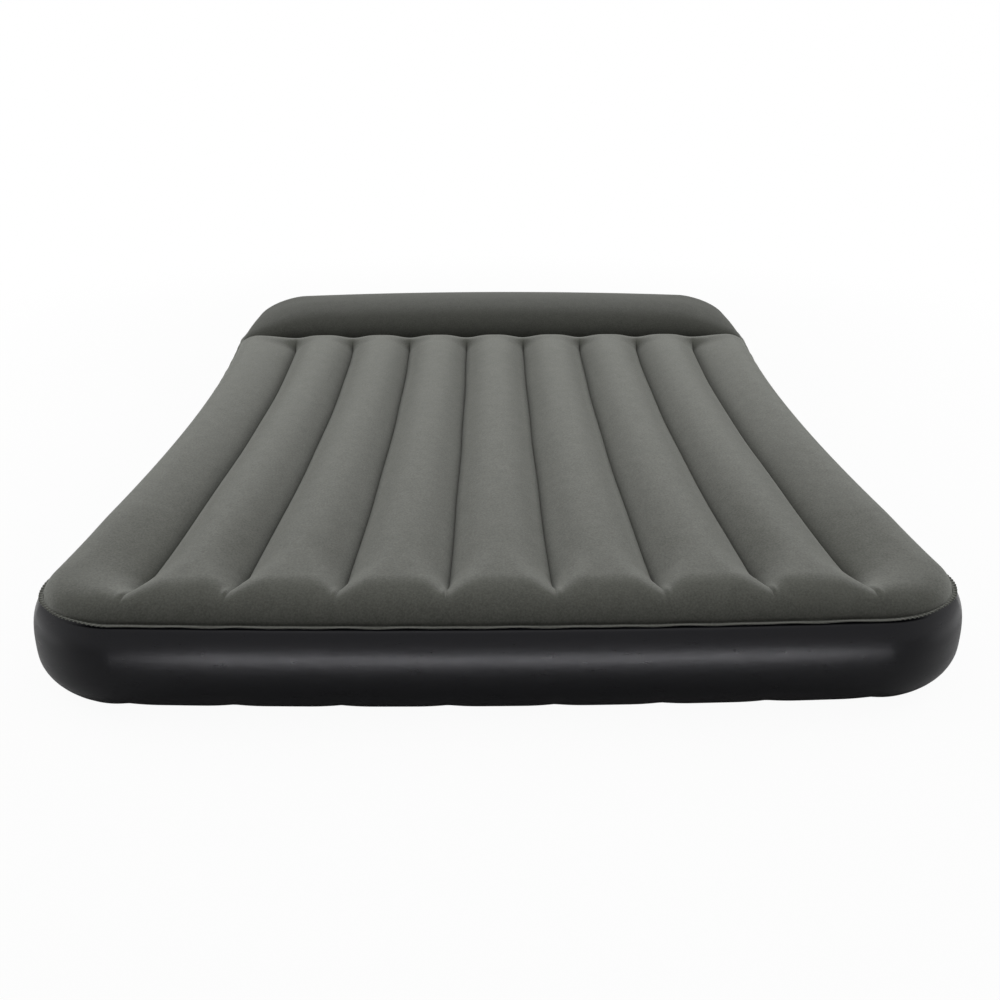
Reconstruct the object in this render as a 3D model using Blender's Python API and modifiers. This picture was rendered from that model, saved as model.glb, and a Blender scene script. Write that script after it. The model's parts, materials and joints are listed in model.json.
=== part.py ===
"""Queen-size flocked air mattress with a raised pillow and a built-in electric pump.

Metres, +Z up. The origin is on the floor under the middle of the bed, the foot is towards -Y and the head
towards +Y. Welded sheets make the skin, strips inside hold the channels down, and the pump sits in
the right-hand wall beside the pillow.
"""

import math

import bmesh
import bpy
from mathutils import Matrix

# Overall size
BED_WIDTH = 1.52
BED_LENGTH = 2.03
PILLOW_TOP = 0.25
WALL_BULGE = 0.025
CORNER_RADIUS = 0.15
WAIST = 0.044
CHANNEL_WAIST = 0.034
END_BOW = 0.02
END_BOW_LENGTH = 0.18
WAIST_FOOT_END = 0.04
WAIST_HEAD_END = 0.365

# Flocked top
CHANNELS = 9
EDGE_CHANNEL = 0.1575
SEAM_HEIGHT = 0.152
CREST_RISE = 0.044
GROOVE_RISE = 0.002
EDGE_ROLL = 0.085
TIP_START = 0.04
TIP_LENGTH = 0.05
LIP = 0.006
LIP_DROOP = 0.0006

# Pillow
PILLOW_DEPTH = 0.36
CREASE_DROP = 0.018
CHANNEL_END_ROLL = 0.085
PILLOW_FRONT_ROLL = 0.1
PILLOW_EDGE_ROLL = 0.22
PILLOW_ARCH = 0.018

# Wall and floor panel
WALL_FOOT_INSET = 0.018
FLOOR_FLANGE = 0.012
FLOOR_GROOVE = 0.015
FLOOR_FLAT_SHARE = 0.6

# Sheets and strips
TOP_SHEET = 0.0006
WALL_SHEET = 0.0005
BEAM_SHEET = 0.0005
BEAM_TAB = 0.008
PILLOW_BEAM_SHARE = 0.8

# Fits
GAP = 0.0003
RUN_GAP = 0.0005
WELD = 0.00001

# Pump panel, seen from outside: x along the bed, y up, z out of the wall
PUMP_PAST_CREASE = 0.01
PUMP_DROP = 0.001
PANEL_STAND = 0.007
PANEL_WIDTH = 0.184
PANEL_HEIGHT = 0.092
PANEL_RADIUS = 0.014
PANEL_THICKNESS = 0.004
PANEL_EASE = 0.012
WALL_MARGIN = 0.011
WINDOW_RADIUS = 0.0137
SCREW_INSET = 0.006
SCREW_RADIUS = 0.0015
SCREW_HEAD = 0.0032
SCREW_LENGTH = 0.016
BOSS_WALL = 0.0027
GASKET = 0.0012
FLANGE = 0.003
TUB_MARGIN = 0.008
TUB_RADIUS = 0.01
TUB_WALL = 0.0025
TUB_DEPTH = 0.106

# Selector dial and diverter
DIAL_X = -0.038
DIAL_Y = 0.003
DIAL_RADIUS = 0.0238
DIAL_THICKNESS = 0.008
DIAL_SINK = 0.0035
GRIP_WIDTH = 0.011
GRIP_HEIGHT = 0.007
SPINDLE_RADIUS = 0.004
SOCKET_DEPTH = 0.005
DIVERTER_FRONT = 0.016
DIVERTER_BACK = 0.064
DIVERTER_WALL = 0.0025
DRUM_RADIUS = 0.024
DUCT_RADIUS = 0.017
DUCT_WALL = 0.003
SLOTS = 9
SLOT_WIDTH = 0.0026
SLOT_HEIGHT = 0.005
SLOT_PITCH = 0.005

# Outlet flap
FLAP_OVERLAP = 0.0035
FLAP_THICKNESS = 0.0016
FLAP_BARREL = 0.0022
FLAP_PIN = 0.001
FLAP_BARREL_LENGTH = 0.015
LUG_THICKNESS = 0.003

# Cord well and its door
WELL_X = 0.036
WELL_WIDTH = 0.056
WELL_HEIGHT = 0.05
WELL_CLEARANCE = 0.0015
WELL_WALL = 0.002
WELL_RADIUS = 0.004
DOOR_OVERLAP = 0.004
DOOR_THICKNESS = 0.0024
DOOR_BARREL = 0.0022
DOOR_PIN = 0.0008
GLAND_Y = -0.015
GLAND_RADIUS = 0.006
GLAND_BORE = 0.0033

# Motor and fan
MOTOR_CLEARANCE = 0.001
MOTOR_RADIUS = 0.021
MOTOR_WALL = 0.0015
MOTOR_START = 0.0067
MOTOR_LENGTH = 0.0593
BELL_THICKNESS = 0.003
SHAFT_RADIUS = 0.002
ARMATURE_RADIUS = 0.017
ARMATURE_INSET = 0.008
VOLUTE_RADIUS = 0.0285
VOLUTE_WALL = 0.002
VOLUTE_WIDTH = 0.0149
COVER_THICKNESS = 0.0017
INLET_RADIUS = 0.01
FAN_RADIUS = 0.0245
FAN_HUB = 0.007
FAN_DISC = 0.0015
BLADES = 10
CRADLE_LENGTH = 0.03

# Values that follow from the sizes above
SEAM_X = BED_WIDTH / 2 - WALL_BULGE
SEAM_Y = BED_LENGTH / 2 - WALL_BULGE
CREASE_Y = SEAM_Y - PILLOW_DEPTH
HALF_GROOVES = (CHANNELS - 2) / 2
END_PITCH = (SEAM_X - EDGE_CHANNEL) / HALF_GROOVES
WAIST_START = -SEAM_Y + WAIST_FOOT_END
WAIST_END = SEAM_Y - WAIST_HEAD_END
WALL_FOOT = WALL_SHEET + GAP
WALL_HEAD = SEAM_HEIGHT - LIP_DROOP - TOP_SHEET - 2 * GAP
PUMP_PLANE = SEAM_X + PANEL_STAND
PUMP_Y = CREASE_Y + PUMP_PAST_CREASE
PUMP_Z = SEAM_HEIGHT / 2 - PUMP_DROP
PUMP_FLAT = PANEL_WIDTH / 2 + PANEL_EASE
WINDOW_WIDTH = PANEL_WIDTH - 2 * WALL_MARGIN
WINDOW_HEIGHT = PANEL_HEIGHT - 2 * WALL_MARGIN
TUB_WIDTH = WINDOW_WIDTH - 2 * TUB_MARGIN
TUB_HEIGHT = WINDOW_HEIGHT - TUB_MARGIN / 2
PANEL_FRONT = GAP + PANEL_THICKNESS
GASKET_FRONT = -WALL_SHEET - GAP
FLANGE_FRONT = GASKET_FRONT - GASKET - GAP
TUB_FLOOR = TUB_WALL - TUB_DEPTH
MOTOR_Z = TUB_FLOOR + MOTOR_CLEARANCE + VOLUTE_RADIUS
WELL_DEPTH = -MOTOR_Z - VOLUTE_RADIUS - WELL_CLEARANCE
DIVERTER_RADIUS = DRUM_RADIUS + RUN_GAP + DIVERTER_WALL
DOOR_HINGE_Y = -WELL_HEIGHT / 2 - DOOR_OVERLAP - DOOR_BARREL - RUN_GAP
DOOR_HINGE_Z = PANEL_FRONT + GAP + DOOR_BARREL
FLAP_RADIUS = DUCT_RADIUS + FLAP_OVERLAP
FLAP_HINGE_Y = FLAP_RADIUS + FLAP_BARREL + RUN_GAP
FLAP_HINGE_Z = -TUB_DEPTH - GAP - FLAP_BARREL
ACROSS = (math.pi / 2, 0, math.pi / 2)


def smooth_step(value):
    """Ease from 0 to 1 as the value goes from 0 to 1."""
    value = min(max(value, 0.0), 1.0)
    return value * value * (3 - 2 * value)


def roll(distance, length):
    """Quarter-ellipse rise from 0 at an edge to 1 at the given distance inside it."""
    share = 1 - min(max(distance / length, 0.0), 1.0)
    return math.sqrt(1 - share * share)


def waist(y):
    """Share of the narrowing at y: 1 at the waist and 0 at the ends."""
    centre = (WAIST_START + WAIST_END) / 2
    share = (y - centre) / (WAIST_END - centre)
    return max(1 - share * share, 0.0)


def half_width(y):
    """Half the width of the seam outline at y, with its rounded corners."""
    inside = min(max(SEAM_Y - abs(y), 0.0), CORNER_RADIUS)
    corner = CORNER_RADIUS - inside
    return SEAM_X - WAIST * waist(y) - CORNER_RADIUS + math.sqrt(CORNER_RADIUS**2 - corner**2)


def pitch(y):
    """Channel pitch at y, kept inside the rounded corners."""
    step = END_PITCH - CHANNEL_WAIST * waist(y) / HALF_GROOVES
    return min(step, (half_width(y) - LIP) / HALF_GROOVES)


def bow(x, y):
    """How far a point near either end moves inwards, so that the ends bulge in plan."""
    near = smooth_step((abs(y) - SEAM_Y + END_BOW_LENGTH) / END_BOW_LENGTH)
    return -math.copysign(END_BOW * (x / SEAM_X) ** 2 * near, y)


def edge_distance(x, y):
    """Distance in from the seam outline, measured round its corners."""
    side = SEAM_X - WAIST * waist(y) - abs(x)
    end = SEAM_Y - abs(y)
    if side < CORNER_RADIUS and end < CORNER_RADIUS:
        return CORNER_RADIUS - math.hypot(CORNER_RADIUS - side, CORNER_RADIUS - end)
    return min(side, end)


def channel_dip(x, y):
    """How far the grooves pull the sheet down at a point: 1 at a groove and 0 on a crest."""
    step = pitch(y)
    nearest = min(max(round(x / step - 0.5) + 0.5, -HALF_GROOVES), HALF_GROOVES)
    across = min(abs(x / step - nearest), 0.5)
    foot = smooth_step((y + SEAM_Y - TIP_START) / TIP_LENGTH)
    head = smooth_step((CREASE_Y - y - TIP_START) / TIP_LENGTH)
    return (1 - math.sin(math.pi * across)) * foot * head


def top_height(x, y):
    """Height of the flocked top in front of the pillow."""
    edge = roll(edge_distance(x, y), EDGE_ROLL)
    crease = roll(CREASE_Y - y, CHANNEL_END_ROLL)
    dome = SEAM_HEIGHT + CREST_RISE * edge * crease - CREASE_DROP * edge * (1 - crease)
    return dome - (CREST_RISE - GROOVE_RISE) * edge * channel_dip(x, y)


def pillow_height(x, y):
    """Height of the pillow roll across the head."""
    crease = roll(y - CREASE_Y, PILLOW_FRONT_ROLL)
    crown = PILLOW_TOP - SEAM_HEIGHT - PILLOW_ARCH * (x / SEAM_X) ** 2
    rise = crown * roll(edge_distance(x, y), PILLOW_EDGE_ROLL) * crease
    return SEAM_HEIGHT + rise - CREASE_DROP * roll(edge_distance(x, y), EDGE_ROLL) * (1 - crease)


def seam_normal(x, y):
    """Outward direction of the seam outline at a point on it."""
    end = abs(y) - SEAM_Y + CORNER_RADIUS
    if end <= 0:
        return math.copysign(1, x), 0.0
    side = math.sqrt(max(CORNER_RADIUS**2 - end**2, 0.0))
    return math.copysign(side / CORNER_RADIUS, x), math.copysign(end / CORNER_RADIUS, y)


def clear_scene():
    """Remove what the scene holds."""
    for obj in list(bpy.data.objects):
        bpy.data.objects.remove(obj)


def new_collection(name):
    """A collection linked to the scene."""
    made = bpy.data.collections.new(name)
    bpy.context.scene.collection.children.link(made)
    return made


def new_material(name, colour, roughness, metallic=0.0):
    """A plain surface with one colour."""
    made = bpy.data.materials.new(name)
    made.use_nodes = True
    shader = made.node_tree.nodes["Principled BSDF"]
    shader.inputs["Base Color"].default_value = (*colour, 1.0)
    shader.inputs["Roughness"].default_value = roughness
    shader.inputs["Metallic"].default_value = metallic
    made.diffuse_color = (*colour, 1.0)
    return made


def add_object(name, mesh, material, parent=None, location=(0, 0, 0), turn=(0, 0, 0)):
    """Put a mesh in the part's collection."""
    obj = bpy.data.objects.new(name, mesh)
    PARTS.objects.link(obj)
    obj.parent = parent
    obj.location = location
    obj.rotation_euler = turn
    if material is not None:
        mesh.materials.append(material)
    return obj


def clean_mesh(obj):
    """Replace a curve or an object with modifiers by its welded mesh, facing out."""
    bpy.context.view_layer.update()
    depsgraph = bpy.context.evaluated_depsgraph_get()
    mesh = bpy.data.meshes.new_from_object(obj.evaluated_get(depsgraph))
    shape = bmesh.new()
    shape.from_mesh(mesh)
    bmesh.ops.remove_doubles(shape, verts=shape.verts, dist=WELD)
    bmesh.ops.recalc_face_normals(shape, faces=shape.faces)
    shape.to_mesh(mesh)
    shape.free()
    bpy.data.objects.remove(obj)
    return mesh


def round_mesh_edges(mesh):
    """Shade gentle bends smooth and keep corners sharp."""
    mesh.shade_smooth()
    mesh.set_sharp_from_angle(angle=math.radians(35))


def sheet_mesh(name, columns, rows, place):
    """A sheet of quads whose corner (column, row) lies at place(column, row)."""
    sheet = bmesh.new()
    bmesh.ops.create_grid(sheet, x_segments=columns - 1, y_segments=rows - 1, size=0.5)
    for vert in sheet.verts:
        column = round((vert.co.x + 0.5) * (columns - 1))
        row = round((vert.co.y + 0.5) * (rows - 1))
        vert.co = place(column, row)
    bmesh.ops.remove_doubles(sheet, verts=sheet.verts, dist=WELD)
    mesh = bpy.data.meshes.new(name)
    sheet.to_mesh(mesh)
    sheet.free()
    round_mesh_edges(mesh)
    return mesh


def add_sheet(name, mesh, thickness, offset, material):
    """Give a sheet its thickness."""
    obj = add_object(name, mesh, material)
    solid = obj.modifiers.new("thickness", "SOLIDIFY")
    solid.thickness = thickness
    solid.offset = offset
    solid.use_even_offset = True
    return obj


def box_outline(width, height, radius, centre=(0, 0), steps=5):
    """Points round a rectangle with rounded corners."""
    points = []
    for quarter in range(4):
        side_x = 1 if quarter in (0, 3) else -1
        side_y = 1 if quarter in (0, 1) else -1
        for step in range(steps + 1):
            angle = math.pi / 2 * (quarter + step / steps)
            x = centre[0] + side_x * (width / 2 - radius) + radius * math.cos(angle)
            y = centre[1] + side_y * (height / 2 - radius) + radius * math.sin(angle)
            points.append((x, y))
    return points


def circle_outline(radius, centre=(0, 0), steps=32):
    """Points round a circle."""
    angles = [2 * math.pi * step / steps for step in range(steps)]
    return [(centre[0] + radius * math.cos(a), centre[1] + radius * math.sin(a)) for a in angles]


def plate(name, outlines, low, high, material=None, parent=None, location=(0, 0, 0), turn=(0, 0, 0)):
    """A flat outline with its holes, extruded from low to high."""
    curve = bpy.data.curves.new(name, "CURVE")
    curve.dimensions = "2D"
    curve.fill_mode = "BOTH"
    curve.extrude = (high - low) / 2
    for outline in outlines:
        spline = curve.splines.new("POLY")
        spline.points.add(len(outline) - 1)
        for point, (x, y) in zip(spline.points, outline):
            point.co = (x, y, 0, 1)
        spline.use_cyclic_u = True
    flat = bpy.data.objects.new(name, curve)
    PARTS.objects.link(flat)
    mesh = clean_mesh(flat)
    mesh.transform(Matrix.Translation((0, 0, (low + high) / 2)))
    round_mesh_edges(mesh)
    return add_object(name, mesh, material, parent, location, turn)


def turned(name, profile, material=None, parent=None, location=(0, 0, 0), turn=(0, 0, 0), steps=32):
    """A closed profile of (radius, height) points turned about the z axis."""
    line = bpy.data.meshes.new(name)
    edges = [(index, (index + 1) % len(profile)) for index in range(len(profile))]
    line.from_pydata([(radius, 0, height) for radius, height in profile], edges, [])
    spun = bpy.data.objects.new(name, line)
    PARTS.objects.link(spun)
    screw = spun.modifiers.new("turn", "SCREW")
    screw.steps = steps
    screw.render_steps = steps
    screw.use_merge_vertices = True
    screw.merge_threshold = WELD
    mesh = clean_mesh(spun)
    round_mesh_edges(mesh)
    return add_object(name, mesh, material, parent, location, turn)


def rod(name, radius, low, high, material=None, parent=None, location=(0, 0, 0), turn=(0, 0, 0), steps=24):
    """A plain cylinder along its own z axis."""
    return plate(name, [circle_outline(radius, steps=steps)], low, high, material, parent, location, turn)


def block(name, width, height, low, high, material=None, parent=None, location=(0, 0, 0)):
    """A plain box with its outline centred on its origin."""
    half_x = width / 2
    half_y = height / 2
    outline = [(half_x, half_y), (-half_x, half_y), (-half_x, -half_y), (half_x, -half_y)]
    return plate(name, [outline], low, high, material, parent, location)


def combine(target, operation, *tools):
    """Join solids to a target or cut them out of it."""
    for tool in tools:
        PARTS.objects.unlink(tool)
        CUTTERS.objects.link(tool)
        tool.hide_render = True
        tool.display_type = "WIRE"
        step = target.modifiers.new(tool.name, "BOOLEAN")
        step.operation = operation
        step.solver = "EXACT"
        step.object = tool
    return target


def top_sheet(flock):
    """Flocked panel with its channels and the welded lip along its sides and foot."""
    inner = [k - HALF_GROOVES + part for k in range(CHANNELS - 2) for part in (0, 0.2, 0.5, 0.8)]
    outer = (0.0, 0.2, 0.47, 0.72, 0.92, 1.0)
    stations = [(-1, share) for share in reversed(outer[1:])]
    stations += [(0, place) for place in inner]
    stations += [(1, share) for share in outer]
    foot = (0.0, 0.008, TIP_START / 2, TIP_START, TIP_START + TIP_LENGTH / 2, TIP_START + TIP_LENGTH)
    rows = [-SEAM_Y + inside for inside in foot]
    rows.append(WAIST_START + 0.15)
    rows += [WAIST_START + (WAIST_END - WAIST_START) * share for share in (0.3, 0.5, 0.7)]
    rows += [CREASE_Y - inside for inside in (TIP_START + TIP_LENGTH, TIP_START, 0.015, WELD)]
    columns = len(stations) + 2

    def place(column, row):
        lip_row = row == 0
        y = rows[max(row - 1, 0)]
        side, share = stations[min(max(column - 1, 0), len(stations) - 1)]
        x = share * pitch(y)
        if side:
            groove = HALF_GROOVES * pitch(y)
            x = side * (groove + share * (half_width(y) - groove))
        if 0 < column < columns - 1 and not lip_row:
            return x, y + bow(x, y), top_height(x, y)
        out_x, out_y = (0.0, -1.0) if lip_row else seam_normal(x, y)
        return x + LIP * out_x, y + bow(x, y) + LIP * out_y, SEAM_HEIGHT - LIP_DROOP

    mesh = sheet_mesh("top_sheet", columns, len(rows) + 1, place)
    return add_sheet("top_sheet", mesh, TOP_SHEET, -1, flock)


def pillow_sheet(flock):
    """Flocked panel over the pillow roll, with the welded lip along its sides and head."""
    half = (0.2, 0.45, 0.65, 0.78, 0.88, 0.95, 0.985, 1.0)
    shares = [-share for share in reversed(half)] + [0.0] + list(half)
    front = (WELD, 0.006, 0.025, 0.055, 0.09, PILLOW_FRONT_ROLL)
    back = (0.17, 0.12, 0.075, 0.04, 0.015, 0.0)
    rows = [CREASE_Y + GAP + inside for inside in front] + [SEAM_Y - inside for inside in back]
    columns = len(shares) + 2

    def place(column, row):
        lip_row = row == len(rows)
        y = rows[min(row, len(rows) - 1)]
        x = shares[min(max(column - 1, 0), len(shares) - 1)] * half_width(y)
        if 0 < column < columns - 1 and not lip_row:
            return x, y + bow(x, y), pillow_height(x, y)
        out_x, out_y = (0.0, 1.0) if lip_row else seam_normal(x, y)
        return x + LIP * out_x, y + bow(x, y) + LIP * out_y, SEAM_HEIGHT - LIP_DROOP

    mesh = sheet_mesh("pillow_sheet", columns, len(rows) + 1, place)
    return add_sheet("pillow_sheet", mesh, TOP_SHEET, -1, flock)


def wall_profile():
    """Points up the bulging wall as (distance out from the seam, height), from the floor flange up."""
    middle = (WALL_FOOT + WALL_HEAD) / 2
    half = (WALL_HEAD - WALL_FOOT) / 2
    points = [(-WALL_FOOT_INSET - FLOOR_FLANGE, WALL_FOOT)]
    for step in range(-4, 5):
        angle = math.pi / 2 * step / 4
        inset = WALL_FOOT_INSET if step < 0 else 0.0
        points.append(((WALL_BULGE + inset) * math.cos(angle) - inset, middle + half * math.sin(angle)))
    return points


def panel_profile():
    """Points up the wall where the pump panel holds it flat, with the plane marked by None."""
    half = PANEL_HEIGHT / 2 + PANEL_EASE / 3
    points = [(-WALL_FOOT_INSET - FLOOR_FLANGE, WALL_FOOT)]
    points += [(-WALL_FOOT_INSET, WALL_FOOT), (-WALL_FOOT_INSET / 3, 4 * WALL_FOOT)]
    points += [(None, PUMP_Z + half * step / 5) for step in range(-5, 6, 2)]
    return points + [(0.0, WALL_HEAD)]


def wall_stations(start, stop, left):
    """Points round the seam outline, anticlockwise from one side of the pump to the other."""
    straight = SEAM_Y - CORNER_RADIUS
    arc = [straight + CORNER_RADIUS * math.sin(math.pi / 2 * step / 5) for step in range(1, 5)]
    across = [half_width(SEAM_Y) * (step / 4 - 1) for step in range(9)]
    points = [(half_width(y), y) for y in start + arc]
    points += [(x, SEAM_Y) for x in reversed(across)]
    points += [(-half_width(y), y) for y in reversed(left + arc)]
    points += [(-half_width(-y), -y) for y in arc]
    points += [(x, -SEAM_Y) for x in across]
    points += [(half_width(-y), -y) for y in reversed(arc)]
    return points + [(half_width(y), y) for y in stop]


def wall_strip(name, stations, vinyl):
    """A band of wall through the stations, bulged, and flat beside the pump panel."""
    bulged = wall_profile()
    flattened = panel_profile()

    def place(column, row):
        x, y = stations[column]
        out_x, out_y = seam_normal(x, y)
        out, height = bulged[row]
        if x > 0 and abs(y - PUMP_Y) <= PUMP_FLAT + 2 * GAP:
            out, height = flattened[row]
            if out is None:
                return PUMP_PLANE, y, height
        return x + out * out_x, y + bow(x, y) + out * out_y, height

    mesh = sheet_mesh(name, len(stations), len(bulged), place)
    return add_sheet(name, mesh, WALL_SHEET, -1, vinyl)


def side_wall(vinyl):
    """Black band round the bed, from one side of the pump to the other."""
    straight = SEAM_Y - CORNER_RADIUS
    left = [straight * (step / 4 - 1) for step in range(9)]
    start = [PUMP_Y + PUMP_FLAT + GAP, straight]
    stop = [y for y in left if y < PUMP_Y - 1.6 * PUMP_FLAT] + [PUMP_Y - PUMP_FLAT - GAP]
    return wall_strip("side_wall", wall_stations(start, stop, left), vinyl)


def pump_wall(vinyl):
    """Flat piece welded into the band, with the window for the pump."""
    places = [PUMP_Y + PUMP_FLAT * share for share in (-1, -1 / 3, 1 / 3, 1)]
    wall = wall_strip("pump_wall", [(half_width(y), y) for y in places], vinyl)
    outline = [box_outline(WINDOW_WIDTH, WINDOW_HEIGHT, WINDOW_RADIUS)]
    window = plate("wall_window", outline, -PANEL_EASE, PANEL_EASE, parent=PUMP)
    return combine(wall, "DIFFERENCE", window)


def bottom_sheet(vinyl):
    """Black floor panel with flat lobes under the channels and its rim under the wall's flange."""
    flat = FLOOR_FLAT_SHARE / 2
    inner = [k - HALF_GROOVES + part for k in range(CHANNELS - 2) for part in (0, 0.5 - flat, 0.5 + flat)]
    stations = [(-1, share) for share in (1.0, 0.8, 0.3)] + [(0, place) for place in inner]
    stations += [(1, share) for share in (0.0, 0.3, 0.8, 1.0)]
    rim = SEAM_Y - WALL_FOOT_INSET
    start = -SEAM_Y + TIP_START
    stop = CREASE_Y - TIP_START
    rows = [-rim, -rim + 0.02, -rim + 0.05, start + TIP_LENGTH, WAIST_START + 0.1]
    rows += [WAIST_START + (WAIST_END - WAIST_START) * share for share in (0.35, 0.5, 0.65)]
    rows += [stop - TIP_LENGTH, stop, PUMP_Y, rim - 0.1, rim - 0.05, rim - 0.02, rim]

    def place(column, row):
        y = rows[row]
        scale = SEAM_Y / rim
        edge = half_width(y * scale) - WALL_FOOT_INSET
        step = min(pitch(y), (edge - WALL_FOOT_INSET) / HALF_GROOVES)
        side, share = stations[column]
        x = share * step
        if side:
            x = side * (HALF_GROOVES * step + share * (edge - HALF_GROOVES * step))
        groove = abs(share % 1 - 0.5) < 0.01 if not side else share == 0
        lift = FLOOR_GROOVE if groove and start < y < stop - WELD else 0.0
        return x, y + bow(x, y * scale), lift

    mesh = sheet_mesh("bottom_sheet", len(stations), len(rows), place)
    return add_sheet("bottom_sheet", mesh, WALL_SHEET, 1, vinyl)


def channel_beam(index, vinyl):
    """Strip along one groove, with a welded tab at its top and bottom edges."""
    groove = index - HALF_GROOVES
    start = -SEAM_Y + TIP_START + TIP_LENGTH
    stop = CREASE_Y - TIP_START - TIP_LENGTH
    slope = math.atan2(math.pi * (CREST_RISE - GROOVE_RISE), END_PITCH - WAIST / HALF_GROOVES)
    high = SEAM_HEIGHT + GROOVE_RISE - TOP_SHEET / math.cos(slope) - GAP - BEAM_SHEET / 2
    low = FLOOR_GROOVE + 2 * WALL_SHEET + GAP + BEAM_SHEET / 2
    fold = ((BEAM_TAB, low), (0, low), (0, high), (BEAM_TAB, high))
    rows = [start + (stop - start) * step / 8 for step in range(9)]

    def place(column, row):
        out, height = fold[column]
        return groove * pitch(rows[row]) + out, rows[row], height

    name = f"channel_beam_{index + 1}"
    return add_sheet(name, sheet_mesh(name, len(fold), len(rows), place), BEAM_SHEET, 0, vinyl)


def pillow_beam(vinyl):
    """Cross strip under the crease in front of the pillow; air passes round its two ends."""
    high = SEAM_HEIGHT - CREASE_DROP - 4 * TOP_SHEET - GAP
    low = WALL_SHEET + GAP + BEAM_SHEET / 2
    fold = ((BEAM_TAB, high), (0, high), (0, low), (BEAM_TAB, low))
    length = PILLOW_BEAM_SHARE * SEAM_X

    def place(column, row):
        out, height = fold[row]
        return -length + 2 * length * column / 2, CREASE_Y + out, height

    mesh = sheet_mesh("pillow_beam", 3, len(fold), place)
    return add_sheet("pillow_beam", mesh, BEAM_SHEET, 0, vinyl)


def screw_places():
    """The four screw positions inside the wall's window."""
    x = WINDOW_WIDTH / 2 - SCREW_INSET
    y = WINDOW_HEIGHT / 2 - SCREW_INSET
    return [(-x, -y), (x, -y), (x, y), (-x, y)]


def pump_housing(plastic):
    """Tub that hangs inside the bed, with its clamping flange, screw bosses and flap lugs."""
    low = FLANGE_FRONT - FLANGE
    flange = [box_outline(PANEL_WIDTH, PANEL_HEIGHT, PANEL_RADIUS)]
    housing = plate("pump_housing", flange, low, FLANGE_FRONT, plastic, PUMP)
    tub = [box_outline(TUB_WIDTH, TUB_HEIGHT, TUB_RADIUS)]
    joined = [plate("housing_tub", tub, -TUB_DEPTH, low + FLANGE / 2, parent=PUMP)]
    for x, y in screw_places():
        boss = circle_outline(SCREW_RADIUS + BOSS_WALL, (x, y), 16)
        joined.append(plate("screw_boss", [boss], -SCREW_LENGTH - BOSS_WALL, low + FLANGE / 2, parent=PUMP))
    axis = (DIAL_X, DIAL_Y + FLAP_HINGE_Y, FLAP_HINGE_Z)
    tall = 2 * FLAP_BARREL + GAP + TUB_WALL / 2
    lug = [box_outline(2 * FLAP_BARREL, tall, FLAP_BARREL / 3, (0, tall / 2 - FLAP_BARREL))]
    for side in (-1, 1):
        middle = side * (FLAP_BARREL_LENGTH / 2 + RUN_GAP + LUG_THICKNESS / 2)
        low = middle - LUG_THICKNESS / 2
        joined.append(plate("flap_lug", lug, low, low + LUG_THICKNESS, None, PUMP, axis, ACROSS))
    combine(housing, "UNION", *joined)
    width = TUB_WIDTH - 2 * TUB_WALL
    height = TUB_HEIGHT - 2 * TUB_WALL
    room = [box_outline(width, height, TUB_RADIUS - TUB_WALL)]
    holes = [circle_outline(SCREW_RADIUS + GAP, place, 16) for place in screw_places()]
    half = FLAP_BARREL_LENGTH / 2 + LUG_THICKNESS * 2
    return combine(
        housing,
        "DIFFERENCE",
        plate("housing_room", room, TUB_FLOOR, TUB_DEPTH, parent=PUMP),
        plate("housing_screw_holes", holes, -SCREW_LENGTH - 2 * BOSS_WALL, TUB_DEPTH, parent=PUMP),
        plate("housing_port", [circle_outline(DUCT_RADIUS, (DIAL_X, DIAL_Y))], -2 * TUB_DEPTH, 0, parent=PUMP),
        rod("housing_bore", FLAP_PIN + GAP, -half, half, None, PUMP, axis, ACROSS, steps=16),
    )


def faceplate(plastic):
    """Outer panel with the dial hole, intake slots, cord opening and door lugs."""
    outline = [box_outline(PANEL_WIDTH, PANEL_HEIGHT, PANEL_RADIUS)]
    panel = plate("faceplate", outline, GAP, PANEL_FRONT, plastic, PUMP)
    axis = (WELL_X, DOOR_HINGE_Y, DOOR_HINGE_Z)
    tall = 2 * DOOR_BARREL + GAP + PANEL_THICKNESS / 2
    lug = [box_outline(2 * DOOR_BARREL, tall, DOOR_BARREL * 0.9, (0, DOOR_BARREL - tall / 2))]
    lugs = []
    for side in (-1, 1):
        low = side * (WELL_WIDTH / 2 - LUG_THICKNESS / 2) - LUG_THICKNESS / 2
        lugs.append(plate("door_lug", lug, low, low + LUG_THICKNESS, None, PUMP, axis, ACROSS))
    combine(panel, "UNION", *lugs)
    holes = [circle_outline(DIAL_RADIUS + 2 * GAP, (DIAL_X, DIAL_Y), 48)]
    holes.append(box_outline(WELL_WIDTH, WELL_HEIGHT, WELL_RADIUS, (WELL_X, 0)))
    holes += [circle_outline(SCREW_RADIUS + GAP, place, 16) for place in screw_places()]
    slot_y = DIAL_Y - DIAL_RADIUS - SLOT_HEIGHT
    for index in range(SLOTS):
        x = DIAL_X + (index - (SLOTS - 1) / 2) * SLOT_PITCH
        holes.append(box_outline(SLOT_WIDTH, SLOT_HEIGHT, SLOT_WIDTH * 0.45, (x, slot_y), 3))
    half = WELL_WIDTH / 2 + LUG_THICKNESS
    return combine(
        panel,
        "DIFFERENCE",
        plate("panel_holes", holes, -PANEL_THICKNESS, 2 * PANEL_THICKNESS, parent=PUMP),
        rod("lug_bore", DOOR_PIN + GAP, -half, half, None, PUMP, axis, ACROSS, steps=16),
    )


def wall_gasket(rubber):
    """Soft ring between the wall and the housing flange."""
    outlines = [
        box_outline(PANEL_WIDTH - 0.002, PANEL_HEIGHT - 0.002, PANEL_RADIUS - 0.001),
        box_outline(WINDOW_WIDTH, WINDOW_HEIGHT, WINDOW_RADIUS),
    ]
    return plate("wall_gasket", outlines, GASKET_FRONT - GASKET, GASKET_FRONT, rubber, PUMP)


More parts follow.
